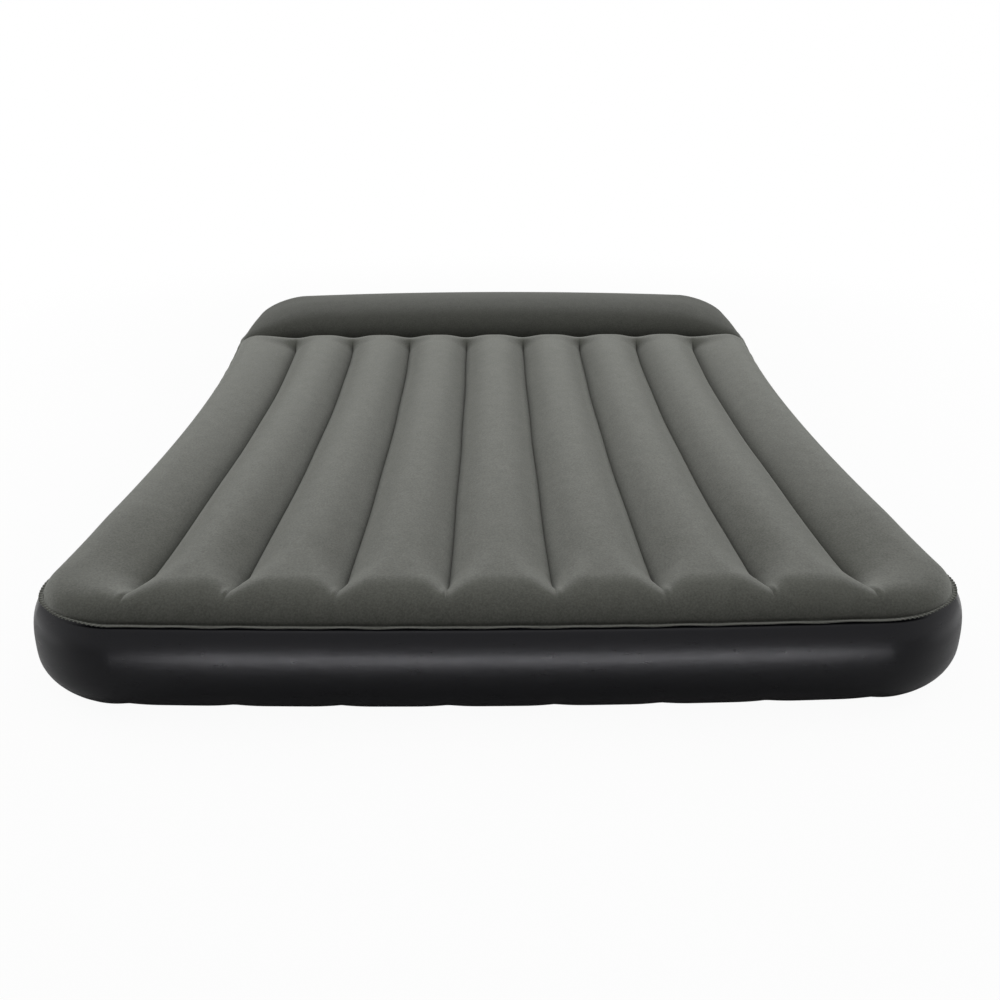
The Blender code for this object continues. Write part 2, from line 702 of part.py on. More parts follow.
def panel_screw(index, steel):
    """Pan-head screw through the faceplate into the housing."""
    x, y = screw_places()[index]
    head = PANEL_FRONT + GAP
    profile = [
        (0, -SCREW_LENGTH),
        (SCREW_RADIUS, -SCREW_LENGTH),
        (SCREW_RADIUS, head),
        (SCREW_HEAD, head),
        (SCREW_HEAD * 0.9, head + 0.0014),
        (0, head + 0.002),
    ]
    return turned(f"panel_screw_{index + 1}", profile, steel, PUMP, (x, y, 0), steps=16)


def control_dial(plastic):
    """Selector dial with a grip bar and a socket for the spindle."""
    low = PANEL_FRONT - DIAL_SINK - DIAL_THICKNESS / 2
    high = low + DIAL_THICKNESS
    place = (DIAL_X, DIAL_Y, 0)
    dial = rod("control_dial", DIAL_RADIUS, low, high, plastic, PUMP, place, steps=48)
    length = 2 * DIAL_RADIUS * 0.88
    bar = [box_outline(GRIP_WIDTH, length, GRIP_WIDTH * 0.4)]
    grip = plate("dial_grip", bar, high - 0.002, high + GRIP_HEIGHT, parent=PUMP, location=place)
    top = low + SOCKET_DEPTH
    socket = rod("dial_socket", SPINDLE_RADIUS + GAP, low - 0.01, top, parent=PUMP, location=place)
    combine(dial, "UNION", grip)
    return combine(dial, "DIFFERENCE", socket)


def dial_spindle(plastic):
    """Rod from the dial back through the diverter drum."""
    high = PANEL_FRONT - DIAL_SINK - DIAL_THICKNESS / 2 + SOCKET_DEPTH - GAP
    low = -DIVERTER_BACK + 0.002
    return rod("dial_spindle", SPINDLE_RADIUS, low, high, plastic, PUMP, (DIAL_X, DIAL_Y, 0))


def diverter_drum(plastic):
    """Drum on the spindle with a flow port through one side."""
    low = -DIVERTER_BACK + 0.004
    high = -DIVERTER_FRONT - DIVERTER_WALL - RUN_GAP
    place = (DIAL_X, DIAL_Y, 0)
    rings = [circle_outline(DRUM_RADIUS), circle_outline(SPINDLE_RADIUS + GAP, steps=24)]
    drum = plate("diverter_drum", rings, low, high, plastic, PUMP, place)
    middle = DRUM_RADIUS * 0.65
    cut = (DIAL_X + middle + 0.004, DIAL_Y, 0)
    port = block("drum_port", middle, DRUM_RADIUS, low - 0.01, high - 0.006, parent=PUMP, location=cut)
    return combine(drum, "DIFFERENCE", port)


def diverter_body(plastic):
    """Cup round the drum, open at the back and ported towards the fan."""
    bore = DRUM_RADIUS + RUN_GAP
    front = -DIVERTER_FRONT
    profile = [
        (SPINDLE_RADIUS + RUN_GAP, front),
        (DIVERTER_RADIUS, front),
        (DIVERTER_RADIUS, -DIVERTER_BACK),
        (bore, -DIVERTER_BACK),
        (bore, front - DIVERTER_WALL),
        (SPINDLE_RADIUS + RUN_GAP, front - DIVERTER_WALL),
    ]
    place = (DIAL_X, DIAL_Y, 0)
    body = turned("diverter_body", profile, plastic, PUMP, place, steps=40)
    cut = (DIAL_X + DIVERTER_RADIUS, DIAL_Y, 0)
    low = -DIVERTER_BACK + 0.008
    port = block("body_port", 0.012, 0.018, low, low + 0.02, parent=PUMP, location=cut)
    return combine(body, "DIFFERENCE", port)


def outlet_duct(plastic):
    """Tube from the diverter to the outlet in the housing floor, with a flange at its front."""
    front = -DIVERTER_BACK - GAP
    outer = DUCT_RADIUS + DUCT_WALL
    profile = [
        (DUCT_RADIUS, front),
        (DIVERTER_RADIUS, front),
        (DIVERTER_RADIUS, front - 0.002),
        (outer, front - 0.002),
        (outer, TUB_FLOOR + GAP),
        (DUCT_RADIUS, TUB_FLOOR + GAP),
    ]
    return turned("outlet_duct", profile, plastic, PUMP, (DIAL_X, DIAL_Y, 0))


def outlet_flap(rubber):
    """Check flap over the outlet, hung from a barrel above it."""
    axis = (DIAL_X, DIAL_Y + FLAP_HINGE_Y, FLAP_HINGE_Z)
    back = -TUB_DEPTH - GAP - FLAP_HINGE_Z
    disc = circle_outline(FLAP_RADIUS, (0, -FLAP_HINGE_Y))
    flap = plate("outlet_flap", [disc], back - FLAP_THICKNESS, back, rubber, PUMP, axis)
    arm = [box_outline(FLAP_BARREL_LENGTH * 0.8, 0.008, 0.0005, (0, -0.0045))]
    tongue = plate("flap_arm", arm, back - FLAP_THICKNESS + GAP, back - GAP, parent=PUMP, location=axis)
    half = FLAP_BARREL_LENGTH / 2
    barrel = rod("flap_barrel", FLAP_BARREL, -half, half, None, PUMP, axis, ACROSS)
    bore = rod("flap_bore", FLAP_PIN + GAP, -2 * half, 2 * half, None, PUMP, axis, ACROSS)
    combine(flap, "UNION", tongue, barrel)
    return combine(flap, "DIFFERENCE", bore)


def flap_pin(steel):
    """Pin through the flap's barrel and the two lugs."""
    axis = (DIAL_X, DIAL_Y + FLAP_HINGE_Y, FLAP_HINGE_Z)
    half = FLAP_BARREL_LENGTH / 2 + RUN_GAP + LUG_THICKNESS
    return rod("flap_pin", FLAP_PIN, -half, half, steel, PUMP, axis, ACROSS, steps=16)


def cord_well(plastic):
    """Pocket behind the door where the cord is kept, with a hole for the gland."""
    width = WELL_WIDTH + 2 * WELL_WALL
    height = WELL_HEIGHT + 2 * WELL_WALL
    outer = [box_outline(width, height, WELL_RADIUS + WELL_WALL, (WELL_X, 0))]
    inner = [box_outline(WELL_WIDTH, WELL_HEIGHT, WELL_RADIUS, (WELL_X, 0))]
    hole = [circle_outline(GLAND_RADIUS + GAP, (WELL_X, GLAND_Y), 24)]
    well = plate("cord_well", outer, -WELL_DEPTH, 0, plastic, PUMP)
    return combine(
        well,
        "DIFFERENCE",
        plate("well_room", inner, WELL_WALL - WELL_DEPTH, WELL_DEPTH, parent=PUMP),
        plate("well_hole", hole, -2 * WELL_DEPTH, 0, parent=PUMP),
    )


def cord_gland(rubber):
    """Sleeve where the mains lead enters, seated in the well's floor."""
    seat = -WELL_DEPTH + WELL_WALL + GAP
    profile = [
        (GLAND_BORE, seat + 0.002),
        (GLAND_RADIUS * 1.5, seat + 0.002),
        (GLAND_RADIUS * 1.5, seat),
        (GLAND_RADIUS, seat),
        (GLAND_RADIUS, -WELL_DEPTH - 0.004),
        (GLAND_BORE, -WELL_DEPTH - 0.004),
    ]
    return turned("cord_gland", profile, rubber, PUMP, (WELL_X, GLAND_Y, 0), steps=24)


def cord_door(plastic):
    """Lid over the cord well, with a finger lip at its top and a hinge barrel at its foot."""
    axis = (WELL_X, DOOR_HINGE_Y, DOOR_HINGE_Z)
    back = PANEL_FRONT + GAP - DOOR_HINGE_Z
    front = back + DOOR_THICKNESS
    width = WELL_WIDTH + 2 * DOOR_OVERLAP
    height = WELL_HEIGHT + 2 * DOOR_OVERLAP
    outline = box_outline(width, height, 0.006, (0, -DOOR_HINGE_Y))
    door = plate("cord_door", [outline], back, front, plastic, PUMP, axis)
    half = WELL_WIDTH / 2 - LUG_THICKNESS - RUN_GAP
    strip = [box_outline(1.9 * half, 0.008, 0.0005, (0, 0.004))]
    foot = plate("door_foot", strip, back + GAP, front - GAP, parent=PUMP, location=axis)
    barrel = rod("door_barrel", DOOR_BARREL, -half, half, None, PUMP, axis, ACROSS)
    grip = [box_outline(0.024, 0.004, 0.0015, (0, height / 2 - DOOR_HINGE_Y - 0.003))]
    lip = plate("door_lip", grip, front - 0.001, front + 0.003, parent=PUMP, location=axis)
    bore = rod("door_bore", DOOR_PIN + GAP, -2 * half, 2 * half, None, PUMP, axis, ACROSS)
    combine(door, "UNION", foot, barrel, lip)
    return combine(door, "DIFFERENCE", bore)


def door_pin(steel):
    """Pin through the door's barrel and the faceplate's lugs."""
    axis = (WELL_X, DOOR_HINGE_Y, DOOR_HINGE_Z)
    half = WELL_WIDTH / 2
    return rod("door_pin", DOOR_PIN, -half, half, steel, PUMP, axis, ACROSS, steps=16)


def motor_parts(paint, plastic, steel, copper, rubber):
    """Motor with its shaft along the bed, the fan and its casing, and the cradle that carries it."""
    axis = (0, 0, MOTOR_Z)
    turn = (0, math.pi / 2, 0)
    stop = MOTOR_START + MOTOR_LENGTH
    bell_end = MOTOR_START + BELL_THICKNESS
    bore = MOTOR_RADIUS - MOTOR_WALL
    can = [
        (0, stop),
        (MOTOR_RADIUS, stop),
        (MOTOR_RADIUS, bell_end + GAP),
        (bore, bell_end + GAP),
        (bore, stop - MOTOR_WALL),
        (0, stop - MOTOR_WALL),
    ]
    turned("motor_can", can, paint, PUMP, axis, turn)
    bell = [circle_outline(MOTOR_RADIUS), circle_outline(SHAFT_RADIUS + RUN_GAP, steps=24)]
    plate("motor_end_bell", bell, MOTOR_START, bell_end, plastic, PUMP, axis, turn)
    core = [circle_outline(ARMATURE_RADIUS), circle_outline(SHAFT_RADIUS + GAP, steps=24)]
    plate("armature", core, bell_end + ARMATURE_INSET, stop - ARMATURE_INSET, copper, PUMP, axis, turn)
    casing_end = MOTOR_START - GAP
    casing_start = casing_end - VOLUTE_WIDTH
    shaft_start = casing_start + 0.001
    rod("motor_shaft", SHAFT_RADIUS, shaft_start, stop - MOTOR_WALL - RUN_GAP, steel, PUMP, axis, turn)
    inner = VOLUTE_RADIUS - VOLUTE_WALL
    casing = [
        (VOLUTE_RADIUS, casing_start),
        (VOLUTE_RADIUS, casing_end),
        (SHAFT_RADIUS + RUN_GAP, casing_end),
        (SHAFT_RADIUS + RUN_GAP, casing_end - VOLUTE_WALL),
        (inner, casing_end - VOLUTE_WALL),
        (inner, casing_start),
    ]
    volute = turned("volute_casing", casing, plastic, PUMP, axis, turn, steps=40)
    middle = (casing_start + casing_end - VOLUTE_WALL) / 2
    place = (middle, 0, MOTOR_Z)
    port = block("volute_port", 0.008, 0.018, inner - 0.006, VOLUTE_RADIUS + 0.01, parent=PUMP, location=place)
    combine(volute, "DIFFERENCE", port)
    cover = [circle_outline(VOLUTE_RADIUS, steps=40), circle_outline(INLET_RADIUS)]
    high = casing_start - GAP
    plate("volute_cover", cover, high - COVER_THICKNESS, high, plastic, PUMP, axis, turn)
    star = []
    for blade in range(BLADES):
        angle = 2 * math.pi * blade / BLADES
        for radius, half in ((FAN_HUB, 0.1), (FAN_RADIUS, 0.028)):
            for offset in (-half, half) if radius == FAN_RADIUS else (-half,):
                star.append((radius * math.cos(angle + offset), radius * math.sin(angle + offset)))
        star.append((FAN_HUB * math.cos(angle + 0.1), FAN_HUB * math.sin(angle + 0.1)))
    high = casing_end - VOLUTE_WALL - 2 * RUN_GAP
    fan = rod("impeller", FAN_RADIUS + GAP, high - FAN_DISC, high, plastic, PUMP, axis, turn, steps=40)
    blades = plate("fan_blades", [star], casing_start + 0.002, high - FAN_DISC / 2, None, PUMP, axis, turn)
    combine(fan, "UNION", blades)
    bore = rod("fan_bore", SHAFT_RADIUS + GAP, -MOTOR_LENGTH, MOTOR_LENGTH, None, PUMP, axis, turn)
    combine(fan, "DIFFERENCE", bore)
    cradle_low = TUB_FLOOR + GAP
    bottom = -TUB_HEIGHT / 2 + TUB_WALL + GAP
    height = -MOTOR_RADIUS / 2 - bottom
    centre = (MOTOR_START + MOTOR_LENGTH / 2, bottom + height / 2, 0)
    front = MOTOR_Z + MOTOR_RADIUS
    cradle = block("motor_cradle", CRADLE_LENGTH, height, cradle_low, front, rubber, PUMP, centre)
    nest = rod("cradle_nest", MOTOR_RADIUS + GAP, 0, stop + 0.01, None, PUMP, axis, turn, steps=32)
    combine(cradle, "DIFFERENCE", nest)


def main():
    """Build the mattress."""
    flock = new_material("flocked_vinyl", (0.19, 0.195, 0.175), 0.95)
    vinyl = new_material("black_vinyl", (0.012, 0.012, 0.013), 0.38)
    strip = new_material("inner_vinyl", (0.05, 0.05, 0.052), 0.5)
    plastic = new_material("black_plastic", (0.02, 0.02, 0.021), 0.45)
    inner = new_material("grey_plastic", (0.16, 0.165, 0.17), 0.5)
    rubber = new_material("black_rubber", (0.015, 0.015, 0.015), 0.8)
    steel = new_material("plated_steel", (0.55, 0.55, 0.56), 0.3, 1.0)
    copper = new_material("wound_core", (0.45, 0.2, 0.09), 0.45, 0.7)
    paint = new_material("motor_paint", (0.3, 0.31, 0.32), 0.4, 0.4)
    top_sheet(flock)
    pillow_sheet(flock)
    side_wall(vinyl)
    pump_wall(vinyl)
    bottom_sheet(vinyl)
    for index in range(CHANNELS - 1):
        channel_beam(index, strip)
    pillow_beam(strip)
    pump_housing(inner)
    wall_gasket(rubber)
    faceplate(plastic)
    for index in range(len(screw_places())):
        panel_screw(index, steel)
    control_dial(plastic)
    dial_spindle(inner)
    diverter_drum(inner)
    diverter_body(inner)
    outlet_duct(inner)
    outlet_flap(rubber)
    flap_pin(steel)
    cord_well(plastic)
    cord_gland(rubber)
    cord_door(plastic)
    door_pin(steel)
    motor_parts(paint, inner, steel, copper, rubber)


clear_scene()
PARTS = new_collection("air_mattress")
CUTTERS = new_collection("cutters")
PUMP = bpy.data.objects.new("pump_frame", None)
PARTS.objects.link(PUMP)
PUMP.matrix_world = Matrix(((0, 0, 1, PUMP_PLANE), (1, 0, 0, PUMP_Y), (0, 1, 0, PUMP_Z), (0, 0, 0, 1)))
main()
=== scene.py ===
"""Flocked air mattress with a raised pillow and a built-in pump: its skin, finishes, light and camera.

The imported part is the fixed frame. The visible sheets are built here at full resolution in the places of the
packed ones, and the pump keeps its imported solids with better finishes. Metres, +Z up, foot towards -Y.
"""

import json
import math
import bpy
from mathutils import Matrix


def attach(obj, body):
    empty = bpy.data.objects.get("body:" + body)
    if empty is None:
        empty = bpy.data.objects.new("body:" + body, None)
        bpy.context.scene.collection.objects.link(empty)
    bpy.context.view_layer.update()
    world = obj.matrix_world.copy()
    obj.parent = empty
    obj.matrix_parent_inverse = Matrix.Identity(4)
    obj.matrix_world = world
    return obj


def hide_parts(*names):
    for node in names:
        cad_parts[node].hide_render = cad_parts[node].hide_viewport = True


bl_info = {
    "name": "Air Mattress Looks",
    "version": (1, 0, 0),
    "blender": (4, 5, 0),
    "location": "3D View > Sidebar > Air Mattress",
    "description": "Builds the flocked top, the vinyl wall and the pump finishes of an air mattress",
    "category": "Object",
}

import bmesh
import bpy
import numpy as np
from bpy.props import FloatProperty, FloatVectorProperty, IntProperty, PointerProperty

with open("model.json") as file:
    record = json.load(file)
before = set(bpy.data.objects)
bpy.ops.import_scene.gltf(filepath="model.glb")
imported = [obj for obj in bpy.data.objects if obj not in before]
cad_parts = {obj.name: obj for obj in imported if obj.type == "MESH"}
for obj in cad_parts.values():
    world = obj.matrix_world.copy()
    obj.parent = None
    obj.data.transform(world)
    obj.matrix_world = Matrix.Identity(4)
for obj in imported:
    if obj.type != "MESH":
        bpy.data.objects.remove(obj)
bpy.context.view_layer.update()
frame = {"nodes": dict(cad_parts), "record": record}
BODY = "mattress"

# Seam outline and heights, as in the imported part
SEAM_X = 0.735
SEAM_Y = 0.99
SEAM_HEIGHT = 0.152
CORNER_RADIUS = 0.15
WAIST = 0.046
CHANNEL_WAIST = 0.034
WAIST_START = -0.95
WAIST_END = 0.625
END_BOW = 0.02
END_BOW_LENGTH = 0.18

# Channels, and how they roll down to the seam and to the crease before the pillow
CHANNELS = 9
HALF_GROOVES = 3.5
CHANNEL_STEPS = 22
END_PITCH = 0.165
ARCH_ANGLE = math.radians(60)
EDGE_VALLEY = 0.58
EDGE_ROLL = 0.085
SIDE_ROLL = 0.06
SIDE_ROLL_START = 0.3
CORNER_REACH = 0.28
CORNER_TIGHTEN = 0.045
CORNER_FALL = 0.5
CORNER_FALL_WIDTH = 0.3
CORNER_FALL_LENGTH = 0.34
CORNER_FALL_POWER = 1.1
CREASE_Y = 0.63
CREASE_DROP = 0.018
CHANNEL_END_ROLL = 0.1
CHANNEL_END_SINK = 0.006
CHANNEL_END_REACH = 0.3

# Grooves: their run, their welds with painted crease shade along them, their tips at the foot and the pits
# before the pillow
WANDER = 0.0006
WANDER_LENGTH = 0.43
WANDER_PHASE = 2.1
VALLEY_SOFT = 0.004
CREASE_WIDTH = 0.0035
WELD_SHADE_WIDTH = 0.0014
WELD_SHADE_FADE = 0.06
TIP_START = 0.012
TIP_LENGTH = 0.12
TIP_SOFT = 0.03
TIP_WIDTH = 0.42
TIP_SPREAD = 0.18
TIP_CREASE = 0.016
TIP_FADE = 0.02
TIP_FLICK = 0.004
TIP_SCATTER = 0.002
TIP_PHASE = 5.0
TIP_FOLD = 0.003
TIP_FOLD_PLACE = 0.044
TIP_FOLD_REACH = 0.02
TIP_FOLD_OFFSET = 0.0036
TIP_FOLD_WIDTH = 0.0022
FOOT_PINCH = 0.009
FOOT_PINCH_START = -0.35
FOOT_PINCH_LENGTH = 0.6
HEAD_PIT = 0.1
HEAD_PIT_LENGTH = 0.05
HEAD_FADE = 0.04
HEAD_SCALLOP = 0.24
HEAD_SCALLOP_POWER = 1.8
HEAD_DRIFT = 0.0045
HEAD_DRIFT_LENGTH = 1.5

# Distance in pitches that stands for no groove on that side
FAR_AWAY = 9.0

# Pillow
PILLOW_TOP = 0.25
PILLOW_FRONT_ROLL = 0.165
PILLOW_TUCK = math.radians(-38)
PILLOW_EDGE_ROLL = 0.22
PILLOW_ARCH = 0.018
PILLOW_STEPS = 44

# Wall
SEAM_STEP = 0.007
CORNER_STEP = 0.0022
WALL_BULGE = 0.025
WALL_FOOT_INSET = 0.018
FLOOR_FLANGE = 0.012
WALL_FOOT = 0.0008
WALL_HEAD = 0.1502
WALL_START = 0.97
WALL_STEPS = (9, 9, 11)
FOOT_LOBE = 0.003
FOOT_LOBE_WIDTH = 0.3
FOOT_LOBE_HEIGHT = 0.05
CORNER_TUCK = 0.15
CORNER_TUCK_START = 0.02
CORNER_TUCK_LENGTH = 0.06
SHOULDER_DROP = 0.004
SHOULDER_START = 0.1
SHOULDER_LENGTH = 0.05

# Lip. Its ripples are (height, number round the bed, phase). The rows over the flocked lip and under it are
# (share of its width, height above the seam or the wall's edge, share of the ripples).
LIP_GATHER = 0.4
CORNER_SAG = 0.0004
LIP_RIPPLES = ((0.0006, 80, 0.0), (0.0005, 51, 1.0))
LIP_ROWS = (
    (-0.4, 0.0016, 0.0),
    (-0.07, 0.0003, 0.2),
    (0.3, 0.0004, 0.3),
    (0.65, 0.0007, 0.65),
    (0.92, 0.001, 0.92),
    (1.0, 0.0007, 1.0),
)
WALL_LIP_ROWS = ((0.96, 0.0, 1.0), (0.5, 0.0, 0.6), (0.08, -0.0004, 0.2))

# Floor panel and the thickness of every sheet
FLOOR_GROOVE = 0.015
FLOOR_GROOVE_WIDTH = 0.2
FLOOR_END = 0.16
FLOOR_END_STEP = 0.006
FLOOR_STEP = 0.03
SHEET = 0.0006

# Flat of the wall that carries the pump, and the pump's window in it
PUMP_Y = 0.64
PUMP_Z = 0.075
PUMP_PLANE = 0.742
PUMP_FLAT = 0.104
PUMP_EASE = 0.09
PUMP_SWELL = 0.04
WINDOW_WIDTH = 0.162
WINDOW_HEIGHT = 0.07

# Levels of the flock on the pillow, darkened as painted shade, and of the vinyl of the inner strips
PILLOW_PAINTED_SHADE = 0.6
STRIP_LEVEL = 3.5

# Lights
OVERHEAD_PLACE = (0.0, -0.85, 1.9)
OVERHEAD_SIZE = (2.2, 2.2)
SIDE_PLACE = (3.0, 0.7, 1.8)
SIDE_SIZE = (1.5, 2.5)
SIDE_TILT = math.radians(62)

# Bright cards on the floor. Those before the foot and behind the head lie over each other for soft ends.
CARD_LENGTHS = (1.58, 1.42, 1.26)
CARD_WIDTH = 0.06
CARD_X = 0.03
CARD_Y = 1.37
CARD_HEIGHT = 0.002
CARD_STEP = 0.001
SIDE_CARD_X = 1.25
SIDE_CARD_SIZE = (0.5, 2.2)
SIDE_CARD_SHARE = 0.2

# Floor and camera
FLOOR_REACH = 30.0
FLOOR_DROP = 0.0005
FLOOR_WHITE = 0.95
FLOOR_FADE_START = 1.5
FLOOR_FADE_STOP = 3.0
CAMERA_PLACE = (-0.0211, -2.2739, 0.9342)
CAMERA_TURN = (math.radians(90 - 24.19), 0.0, math.radians(-0.835))
SENSOR_WIDTH = 36.0


class MattressShape(bpy.types.PropertyGroup):
    """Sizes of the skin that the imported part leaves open."""

    crest_rise: FloatProperty(
        name="Crest Rise",
        description="Height of the channel crests above the seam",
        default=0.044,
        unit="LENGTH",
    )
    groove_depth: FloatProperty(
        name="Groove Depth",
        description="Depth of the grooves below the crests",
        default=0.0403,
        unit="LENGTH",
    )
    crease_depth: FloatProperty(
        name="Crease Depth",
        description="Depth of the sharp crease over each weld",
        default=0.0017,
        unit="LENGTH",
    )
    lip_width: FloatProperty(
        name="Lip Width",
        description="Width of the welded lip round the seam",
        default=0.0075,
        unit="LENGTH",
    )
    corner_puckers: IntProperty(
        name="Corner Puckers",
        description="Small gathers in the lip round each corner",
        default=30,
    )
    pucker_height: FloatProperty(
        name="Pucker Height",
        description="Height of the gathers at the corners",
        default=0.0015,
        unit="LENGTH",
    )


class MattressFinish(bpy.types.PropertyGroup):
    """Colours of the skin and the pump."""

    flock: FloatVectorProperty(
        name="Flock",
        description="Colour of the pile seen from its tips",
        subtype="COLOR",
        default=(0.0855, 0.0872, 0.0763),
    )
    # Painted sheen: this paler colour is blended in where the pile is seen at a slant
    nap_painted_sheen: FloatVectorProperty(
        name="Nap",
        description="Colour of the pile seen across its fibres",
        subtype="COLOR",
        default=(0.1355, 0.1375, 0.126),
    )
    pile_sheen: FloatVectorProperty(
        name="Pile Sheen",
        description="Colour of the sheen on the pile",
        subtype="COLOR",
        default=(0.98, 1.0, 0.93),
    )
    vinyl: FloatVectorProperty(
        name="Vinyl",
        description="Colour of the side wall",
        subtype="COLOR",
        default=(0.0026, 0.0026, 0.0036),
    )
    plastic: FloatVectorProperty(
        name="Pump Plastic",
        description="Colour of the pump panel",
        subtype="COLOR",
        default=(0.018, 0.018, 0.019),
    )
    inner_plastic: FloatVectorProperty(
        name="Inner Plastic",
        description="Colour of the mouldings inside",
        subtype="COLOR",
        default=(0.16, 0.165, 0.17),
    )


class MattressStage(bpy.types.PropertyGroup):
    """Light, floor and camera."""

    overhead: FloatProperty(
        name="Overhead Light",
        description="Power of the soft light above",
        default=17.0,
    )
    sides: FloatProperty(
        name="Side Lights",
        description="Power of the soft light on each side",
        default=60.0,
    )
    cards: FloatProperty(
        name="Floor Cards",
        description="Power of each metre of bright card round the wall",
        default=7.7,
    )
    surround: FloatProperty(
        name="Surround",
        description="Strength of the even light from all round",
        default=0.16,
    )
    lens: FloatProperty(
        name="Lens",
        description="Focal length of the camera",
        default=36.09,
        subtype="DISTANCE_CAMERA",
    )


class Sock:
    """A node's output; arithmetic on it adds Math nodes."""

    def __init__(self, finish, output):
        self.finish = finish
        self.output = output

    def math(self, operation, first, second=0.0):
        return self.finish.node("Math", {"operation": operation}, {0: first, 1: second})

    def __add__(self, other):
        return self.math("ADD", self, other)

    def __sub__(self, other):
        return self.math("SUBTRACT", self, other)

    def __rsub__(self, other):
        return self.math("SUBTRACT", other, self)

    def __mul__(self, other):
        return self.math("MULTIPLY", self, other)

    __radd__ = __add__
    __rmul__ = __mul__

    def clamp(self):
        return self.math("MINIMUM", self.math("MAXIMUM", self, 0.0), 1.0)


class Finish:
    """The nodes of a material or of the world."""

    def __init__(self, owner):
        owner.use_nodes = True
        self.owner = owner
        self.tree = owner.node_tree
        self.tree.nodes.clear()

    def node(self, kind, settings=None, sockets=None, output=0):
        """Add one node: its settings first, then the values or links of its sockets."""
        node = self.tree.nodes.new("ShaderNode" + kind)
        for name, value in (settings or {}).items():
            setattr(node, name, value)
        for name, value in (sockets or {}).items():
            if isinstance(value, Sock):
                self.tree.links.new(value.output, node.inputs[name])
            else:
                node.inputs[name].default_value = value
        return Sock(self, node.outputs[output])

    def place(self):
        """The point on the surface, in the object's own metres."""
        return self.node("TexCoord", output="Object")

    def noise(self, scale, detail=2.0, roughness=0.5, place=None):
        """Soft noise from 0 to 1 with so many cells to the metre."""
        sockets = {"Vector": place or self.place(), "Scale": scale, "Detail": detail, "Roughness": roughness}
        return self.node("TexNoise", None, sockets)

    def blend(self, share, first, second):
        """Mix of two colours; a Mix node's colour sockets go by number, because they share their names."""
        first, second = (tone if isinstance(tone, Sock) else (*tone, 1.0) for tone in (first, second))
        return self.node("Mix", {"data_type": "RGBA"}, {0: share, 6: first, 7: second}, 2)

    def ease(self, value, start, stop):
        """Smooth step from 0 to 1 as a value goes from start to stop."""
        sockets = {"Value": value, "From Min": start, "From Max": stop}
        return self.node("MapRange", {"interpolation_type": "SMOOTHSTEP"}, sockets)

    def bump(self, height, distance, strength=1.0):
        """Surface relief of a height from 0 to 1."""
        return self.node("Bump", None, {"Strength": strength, "Distance": distance, "Height": height})

    def surface(self, **sockets):
        """Close the material with one surface shader."""
        named = {}
        for name, value in sockets.items():
            named[name.replace("_", " ").title().replace("Ior", "IOR")] = value
        self.close(self.node("BsdfPrincipled", None, named))

    def close(self, shader, output="OutputMaterial"):
        """Connect the finished shader."""
        end = self.tree.nodes.new("ShaderNode" + output)
        self.tree.links.new(shader.output, end.inputs["Surface"])


def new_finish(name):
    """An empty material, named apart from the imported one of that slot."""
    return Finish(bpy.data.materials.new(name + ".look"))


def shade(colour, level):
    """A colour made lighter or darker."""
    return tuple(part * level for part in colour)


def flock_finish(name, finish, level=1.0):
    """Short olive pile on vinyl, dark seen from its tips, with painted sheen that makes it paler where seen at
    a slant and painted crease shade along the welds.
    """
    made = new_finish(name)
    pile = made.noise(scale=430.0, detail=4.0, roughness=0.75)
    tufts = made.noise(scale=300.0, detail=2.0, roughness=0.6)
    brushed = made.noise(scale=38.0, detail=3.0, roughness=0.6)
    share = ((pile - 0.5) * 1.2 + (tufts - 0.5) * 1.9 + (brushed - 0.5) * 0.6 + 0.5).clamp()
    tips = made.blend(share, shade(finish.flock, 0.76 * level), shade(finish.flock, 1.24 * level))
    nap_painted_sheen = made.blend(share, shade(finish.nap_painted_sheen, 0.7 * level), shade(finish.nap_painted_sheen, 1.3 * level))
    # Painted sheen: the pile's colour turns to the paler nap where the surface is seen at a slant
    painted_sheen_slant = made.node("LayerWeight", None, {"Blend": 0.5}, "Facing")
    # Painted crease shade: the pile is darkened along the welds
    painted_crease_shade = made.node("Attribute", {"attribute_name": "painted_crease_shade"}, None, "Fac")
    pile_with_painted_sheen = made.blend(made.ease(painted_sheen_slant, start=0.32, stop=0.62), tips, nap_painted_sheen)
    made.surface(
        base_color=made.blend(painted_crease_shade, pile_with_painted_sheen, shade(finish.flock, 0.5 * level)),
        roughness=0.95,
        specular_ior_level=0.05,
        sheen_weight=0.35 * level,
        sheen_roughness=0.5,
        sheen_tint=(*finish.pile_sheen, 1.0),
        normal=made.bump(pile, distance=0.0004, strength=0.4),
    )


def vinyl_finish(name, finish, level=1.0):
    """Satin sheet with a fine calendered grain and faint clouds in its gloss."""
    made = new_finish(name)
    grain = made.noise(scale=900.0, detail=2.0, roughness=0.5)
    drawn = made.node("Mapping", None, {"Vector": made.place(), "Scale": (1.0, 1.0, 4.0)})
    clouds = made.noise(scale=30.0, detail=4.0, roughness=0.65, place=drawn)
    colour = made.blend(clouds, shade(finish.vinyl, 0.8 * level), shade(finish.vinyl, 1.25 * level))
    made.surface(
        base_color=colour,
        roughness=clouds * 0.16 + 0.22,
        specular_ior_level=0.2,
        specular_tint=(0.95, 0.95, 1.0, 1.0),
        normal=made.bump(grain * 0.7 + clouds * 0.3, distance=0.0005, strength=0.2),
    )


def plastic_finish(name, colour, roughness=0.42):
    """Moulded plastic with a spark-eroded texture and slight scuffs."""
    made = new_finish(name)
    texture = made.noise(scale=1400.0, detail=2.0, roughness=0.6)
    scuffs = made.noise(scale=60.0, detail=4.0, roughness=0.7)
    tone = made.blend(scuffs, shade(colour, 0.85), shade(colour, 1.2))
    made.surface(
        base_color=tone,
        roughness=scuffs * 0.2 + (roughness - 0.1),
        normal=made.bump(texture, distance=0.0002, strength=0.5),
    )


